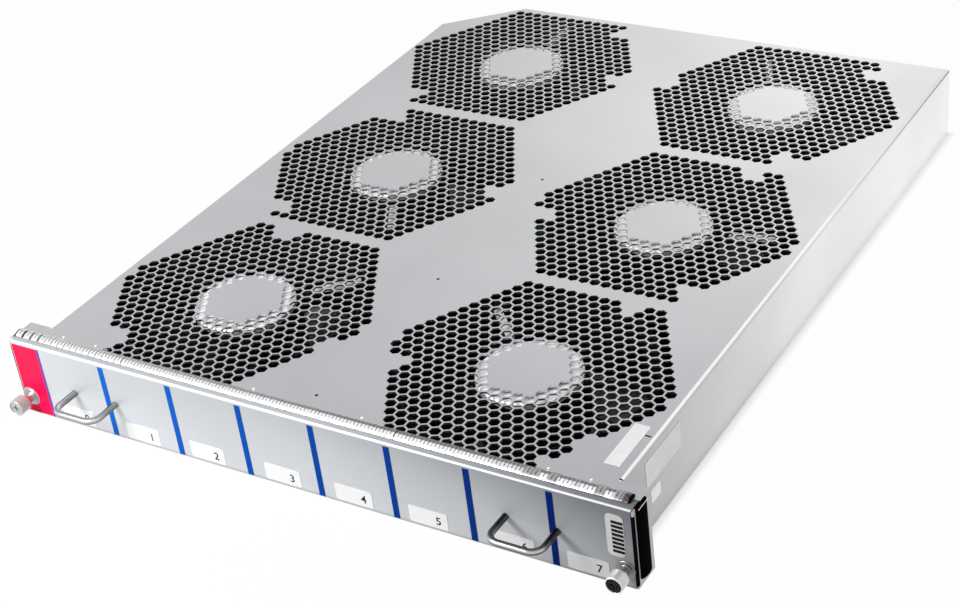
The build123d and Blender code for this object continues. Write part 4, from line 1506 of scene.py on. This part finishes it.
def frame_ring(low, high):
    """A fan's ring between two heights: a closed section turned about its hub, flared at the bore's ends."""
    outer = 76.4 * MM
    waist = outer - 0.9 * MM
    bore = 73.3 * MM
    flare = 1.6 * MM
    lip = 3 * MM
    profile = [
        (bore + flare, low),
        (outer, low),
        (outer, low + lip),
        (waist, low + lip + 1 * MM),
        (waist, high - lip - 1 * MM),
        (outer, high - lip),
        (outer, high),
        (bore + flare, high),
        (bore + 0.4 * MM, high - 2 * MM),
        (bore, high - 5 * MM),
        (bore, low + 5 * MM),
        (bore + 0.4 * MM, low + 2 * MM),
    ]
    return lathe(profile, 96, True)


def strut_shape(width):
    """A strut along X under the motor's seat. Its section is a rounded bar, a superellipse of power four."""
    depth = 3 * MM
    angle = np.linspace(0, 2 * pi, 16, endpoint=False)
    across, rise = (np.sign(part) * np.sqrt(abs(part)) / 2 for part in (np.cos(angle), np.sin(angle)))
    loop = np.stack([across * width, DISC_SEAT - depth / 2 + rise * depth], -1)
    return prism(loop, 27.3 * MM, RING_INNER, 0)


def ear_shape(top):
    """A slotted ear along X: straight sides, rounded corners, and a slot open towards the outside."""
    half = 6.5 * MM
    slot = 2.3 * MM
    reach = 86 * MM
    corner = 2.5 * MM
    loop = np.vstack(
        [
            [(RING_INNER, -half), (reach - corner, -half)],
            arc((reach - corner, corner - half), corner, 270, 360, 5)[1:],
            [(reach, -slot)],
            arc((STUD_CIRCLE, 0), slot, 270, 90, 10),
            [(reach, slot)],
            arc((reach - corner, half - corner), corner, 0, 90, 5),
            [(RING_INNER, half)],
        ]
    )
    return sheet(loop, [], top - 3 * MM, top)


def motor_profile(low, high):
    """A motor's section: stator below, and the wider end disc above with a raised rim and a sunk middle."""
    disc = 31.5 * MM
    stator = 27 * MM
    bore = 5.2 * MM
    bore_top = low + 14 * MM
    sunk = high - 0.6 * MM
    edge = 0.8 * MM
    return [
        (0, sunk),
        (9 * MM, sunk),
        (9.6 * MM, high),
        (disc - edge, high),
        (disc, high - edge),
        (disc, DISC_SEAT),
        (stator, DISC_SEAT),
        (stator, low + 1 * MM),
        (stator - 1 * MM, low),
        (bore, low),
        (bore, bore_top),
        (0, bore_top),
    ]


def blade_shape(root, tip, middle_z, fans):
    """One blade: a cambered plate that grows in chord and leans over from root to tip.

    Along the radius the chord and its lean from upright fade from their root to their tip values. Along the
    chord the plate bows by a parabola and its thickness falls to a third at the edges.
    """
    out = np.linspace(0, 1, 13)[:, None]
    along = np.linspace(-1, 1, 15)[None, :]
    chord = fans.blade_root + (fans.blade_tip - fans.blade_root) * out
    root_lean, tip_lean = 40, 58
    lean = np.radians(root_lean + (tip_lean - root_lean) * out)
    radius = root + (tip - root) * out
    camber, setback = 3.0 * MM, 2.0 * MM
    bow = camber * (1 - along**2) - setback
    thickness = fans.blade_sheet / 2 * (1 - 0.67 * along**2)
    sheets = []
    for face in (1, -1):
        offset = bow + face * thickness
        turn = (offset * np.cos(lean) - chord / 2 * along * np.sin(lean)) / radius
        height = middle_z + chord / 2 * along * np.cos(lean) + offset * np.sin(lean)
        grid = np.stack([radius * np.cos(turn), radius * np.sin(turn), height], -1)
        sheets.append(grid[:, ::face])
    points = np.concatenate(sheets, axis=1)
    return points.reshape(-1, 3), capped_faces(*points.shape[:2])


def rotor_shape(low, high, fans):
    """A rotor between two heights: a cup closed and rounded below, its blades, and the shaft inside it."""
    cup = 34 * MM
    wall = 3 * MM
    top = low + 30 * MM
    shaft = 2.4 * MM
    round_edge = 4 * MM
    tip = 71 * MM
    profile = np.vstack(
        [
            [(0, low + 0.8 * MM), (10 * MM, low + 0.8 * MM), (11 * MM, low)],
            arc((cup - round_edge, low + round_edge), round_edge, 270, 360, 6),
            [(cup, top - 0.5 * MM), (cup - 0.5 * MM, top), (cup - wall, top), (cup - wall, low + wall)],
            [(shaft, low + wall), (shaft, high), (0, high)],
        ]
    )
    blade = blade_shape(cup - 2 * MM, tip, low + 15 * MM, fans)
    blades = [turned(blade, 2 * pi * n / fans.blades) for n in range(fans.blades)]
    return joined([lathe(profile, 72), *blades])


class FANTRAY_OT_fans(bpy.types.Operator):
    """Builds the six fans: frame, motor and rotor"""

    bl_idname = "fan_tray.fans"
    bl_label = "Fans"

    def execute(self, context):
        for number in LANDS:
            self.build(number, context.scene.fan_tray_fans)
        finish_nodes("bronze", "fan_bearings")
        finish_nodes("sleeve", "lead_channels")
        finish_nodes("stud", "fan_studs")
        return {"FINISHED"}

    def build(self, number, fans):
        """One fan. Its struts and its ears are turned about its hub."""
        x, y = hub_place(number)
        nodes = [f"{kind}_{number}" for kind in ("fan_frame", "fan_motor", "fan_rotor")]
        frame_box, motor_box, rotor_box = ([corner.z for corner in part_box(node)] for node in nodes)
        parts = [frame_ring(*frame_box)]
        for turn in (0, 120, 240):
            parts.append(turned(strut_shape(fans.strut_width), radians(LEAD_TURNS[number] + turn)))
        for turn in STUD_TURNS[number]:
            parts.append(turned(ear_shape(frame_box[1]), radians(turn)))
        shape = moved(joined(parts), x, y)
        add_piece(f"frame_{number}", shape, "tray", "frame", [nodes[0]])
        shape = moved(lathe(motor_profile(*motor_box), 64), x, y)
        add_piece(f"motor_{number}", shape, "tray", f"cap_{number}", [nodes[1]])
        shape = moved(rotor_shape(*rotor_box, fans), x, y)
        add_piece(f"blades_{number}", shape, f"rotor_{number}", "rotor", [nodes[2]])


class FANTRAY_OT_inside(bpy.types.Operator):
    """Finishes the control board and the rear connector, and adds the connector's contacts"""

    bl_idname = "fan_tray.inside"
    bl_label = "Board and connector"

    def execute(self, context):
        finish_nodes("board", "control_board")
        finish_nodes("brass", "board_standoffs")
        finish_nodes("resin", "rear_connector")
        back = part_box("rear_connector")[1].y
        middle_z = middle_of("rear_connector")[2]
        start, end = back - 9.5 * MM, back - 1.5 * MM
        pin = circle((0, 0), 0.35 * MM, 8)
        pins = []
        for x in np.linspace(-17, 17, 12) * MM:
            for row in (-1.3 * MM, 1.3 * MM):
                pins.append(prism(pin + (x, middle_z + row), start, end, 1))
        add_piece("connector_pins", joined(pins), "tray", "contact")
        return {"FINISHED"}


# Stage


def studio_world(strength):
    """A soft sky for light, which the camera, gloss and glass see as white."""
    world = bpy.data.worlds.new("studio")
    tree = Tree(world)
    sky = tree.nodes["Background"]
    tree.wire(1, sky.inputs["Color"])
    tree.wire(strength, sky.inputs["Strength"])
    white = tree.node("Background", {"Color": 1, "Strength": 1.0})
    tree.end_with("World Output", tree.seen_rays(), sky, white)
    bpy.context.scene.world = world


class FANTRAY_OT_stage(bpy.types.Operator):
    """Sets the camera, the lamp, the white world and the floor"""

    bl_idname = "fan_tray.stage"
    bl_label = "Stage"

    def execute(self, context):
        scene = context.scene
        stage = scene.fan_tray_stage
        scene.view_settings.view_transform = "Standard"
        studio_world(stage.sky)
        self.camera(scene, stage)
        self.lamp(scene, stage)
        self.floor(scene, stage)
        return {"FINISHED"}

    def camera(self, scene, stage):
        """The camera, at the place that the photograph was taken from."""
        camera = bpy.data.objects.new("camera", bpy.data.cameras.new("camera"))
        camera.location = stage.camera_place
        camera.rotation_euler = stage.camera_turn
        camera.data.lens = stage.lens
        camera.data.sensor_width = 36
        camera.data.shift_x = stage.shift
        scene.collection.objects.link(camera)
        scene.camera = camera

    def lamp(self, scene, stage):
        """A small lamp at the left front, which lights the panel."""
        place = Vector((-0.26, -0.6, 0.4))
        aim = Vector((-0.05, FACE_Y, 0.03))
        lamp = bpy.data.lights.new("near_lamp", "AREA")
        lamp.size = stage.near_width
        lamp.energy = stage.near_power
        holder = bpy.data.objects.new("near_lamp", lamp)
        holder.location = place
        holder.rotation_euler = (aim - place).to_track_quat("-Z", "Y").to_euler()
        scene.collection.objects.link(holder)

    def floor(self, scene, stage):
        """A pale floor, which fades to plain white away from the tray for the camera, gloss and glass.

        A little of the paper stays, and with it the tray's shadow. How far a point lies beyond the tray along
        an axis is its distance from the tray's middle less the tray's half width, and the fade goes by the
        larger of the two.
        """
        half = stage.floor_half
        mesh = bpy.data.meshes.new("floor")
        corners = np.insert(rectangle(-half, -half, half, half), 2, 0.0, axis=1)
        mesh.from_pydata(corners.tolist(), [], [[0, 1, 2, 3]])
        floor = bpy.data.objects.new("floor", mesh)
        scene.collection.objects.link(floor)
        finish = Finish("floor_paper", 0.0, 0.9, 0.86)
        finish.give("Base Color", finish.ramp(finish.noise(3, 2.0), (0.3, 0.85), (0.7, 0.87)))

        def beyond(axis, low, high):
            """How far a point lies beyond the tray along an axis."""
            offset = finish.maths("SUBTRACT", finish.axis(axis), (low + high) / 2)
            return finish.maths("SUBTRACT", finish.maths("ABSOLUTE", offset), (high - low) / 2)

        away = finish.maths("MAXIMUM", beyond("X", -BODY_HALF, BODY_HALF), beyond("Y", PAN_LOW.y, REAR_Y))
        clear = finish.ranged(away, 0, stage.floor_white, -10 * MM, 5 * MM)
        white = finish.node("Emission", {"Strength": 1.0})
        seen = finish.product(clear, finish.seen_rays())
        finish.end_with("Material Output", seen, finish.shader, white)
        mesh.materials.append(finish.material)


class FANTRAY_PT_sidebar(bpy.types.Panel):
    """Lists the steps that build the fan tray"""

    bl_label = "Fan tray"
    bl_space_type = "VIEW_3D"
    bl_region_type = "UI"
    bl_category = "Fan tray"

    def draw(self, context):
        for name, settings in SETTINGS.items():
            box = self.layout.box()
            for field in settings.__annotations__:
                box.prop(getattr(context.scene, name), field)
        for step in STEPS:
            self.layout.operator(step.bl_idname)


STEPS = (
    FANTRAY_OT_cover,
    FANTRAY_OT_pan,
    FANTRAY_OT_panel,
    FANTRAY_OT_strips,
    FANTRAY_OT_gaskets,
    FANTRAY_OT_handles,
    FANTRAY_OT_screws,
    FANTRAY_OT_labels,
    FANTRAY_OT_fans,
    FANTRAY_OT_inside,
    FANTRAY_OT_stage,
)


def register():
    """Registers the settings, the steps and the sidebar."""
    for name, settings in SETTINGS.items():
        bpy.utils.register_class(settings)
        setattr(bpy.types.Scene, name, PointerProperty(type=settings))
    for step in (*STEPS, FANTRAY_PT_sidebar):
        bpy.utils.register_class(step)


def unregister():
    """Takes back what register did."""
    for step in (*STEPS, FANTRAY_PT_sidebar):
        bpy.utils.unregister_class(step)
    for name, settings in SETTINGS.items():
        delattr(bpy.types.Scene, name)
        bpy.utils.unregister_class(settings)


def main():
    """Builds every piece."""
    register()
    make_materials(bpy.context.scene.fan_tray_colours)
    for step in STEPS:
        group, name = step.bl_idname.split(".")
        getattr(getattr(bpy.ops, group), name)()


if __name__ == "__main__":
    main()
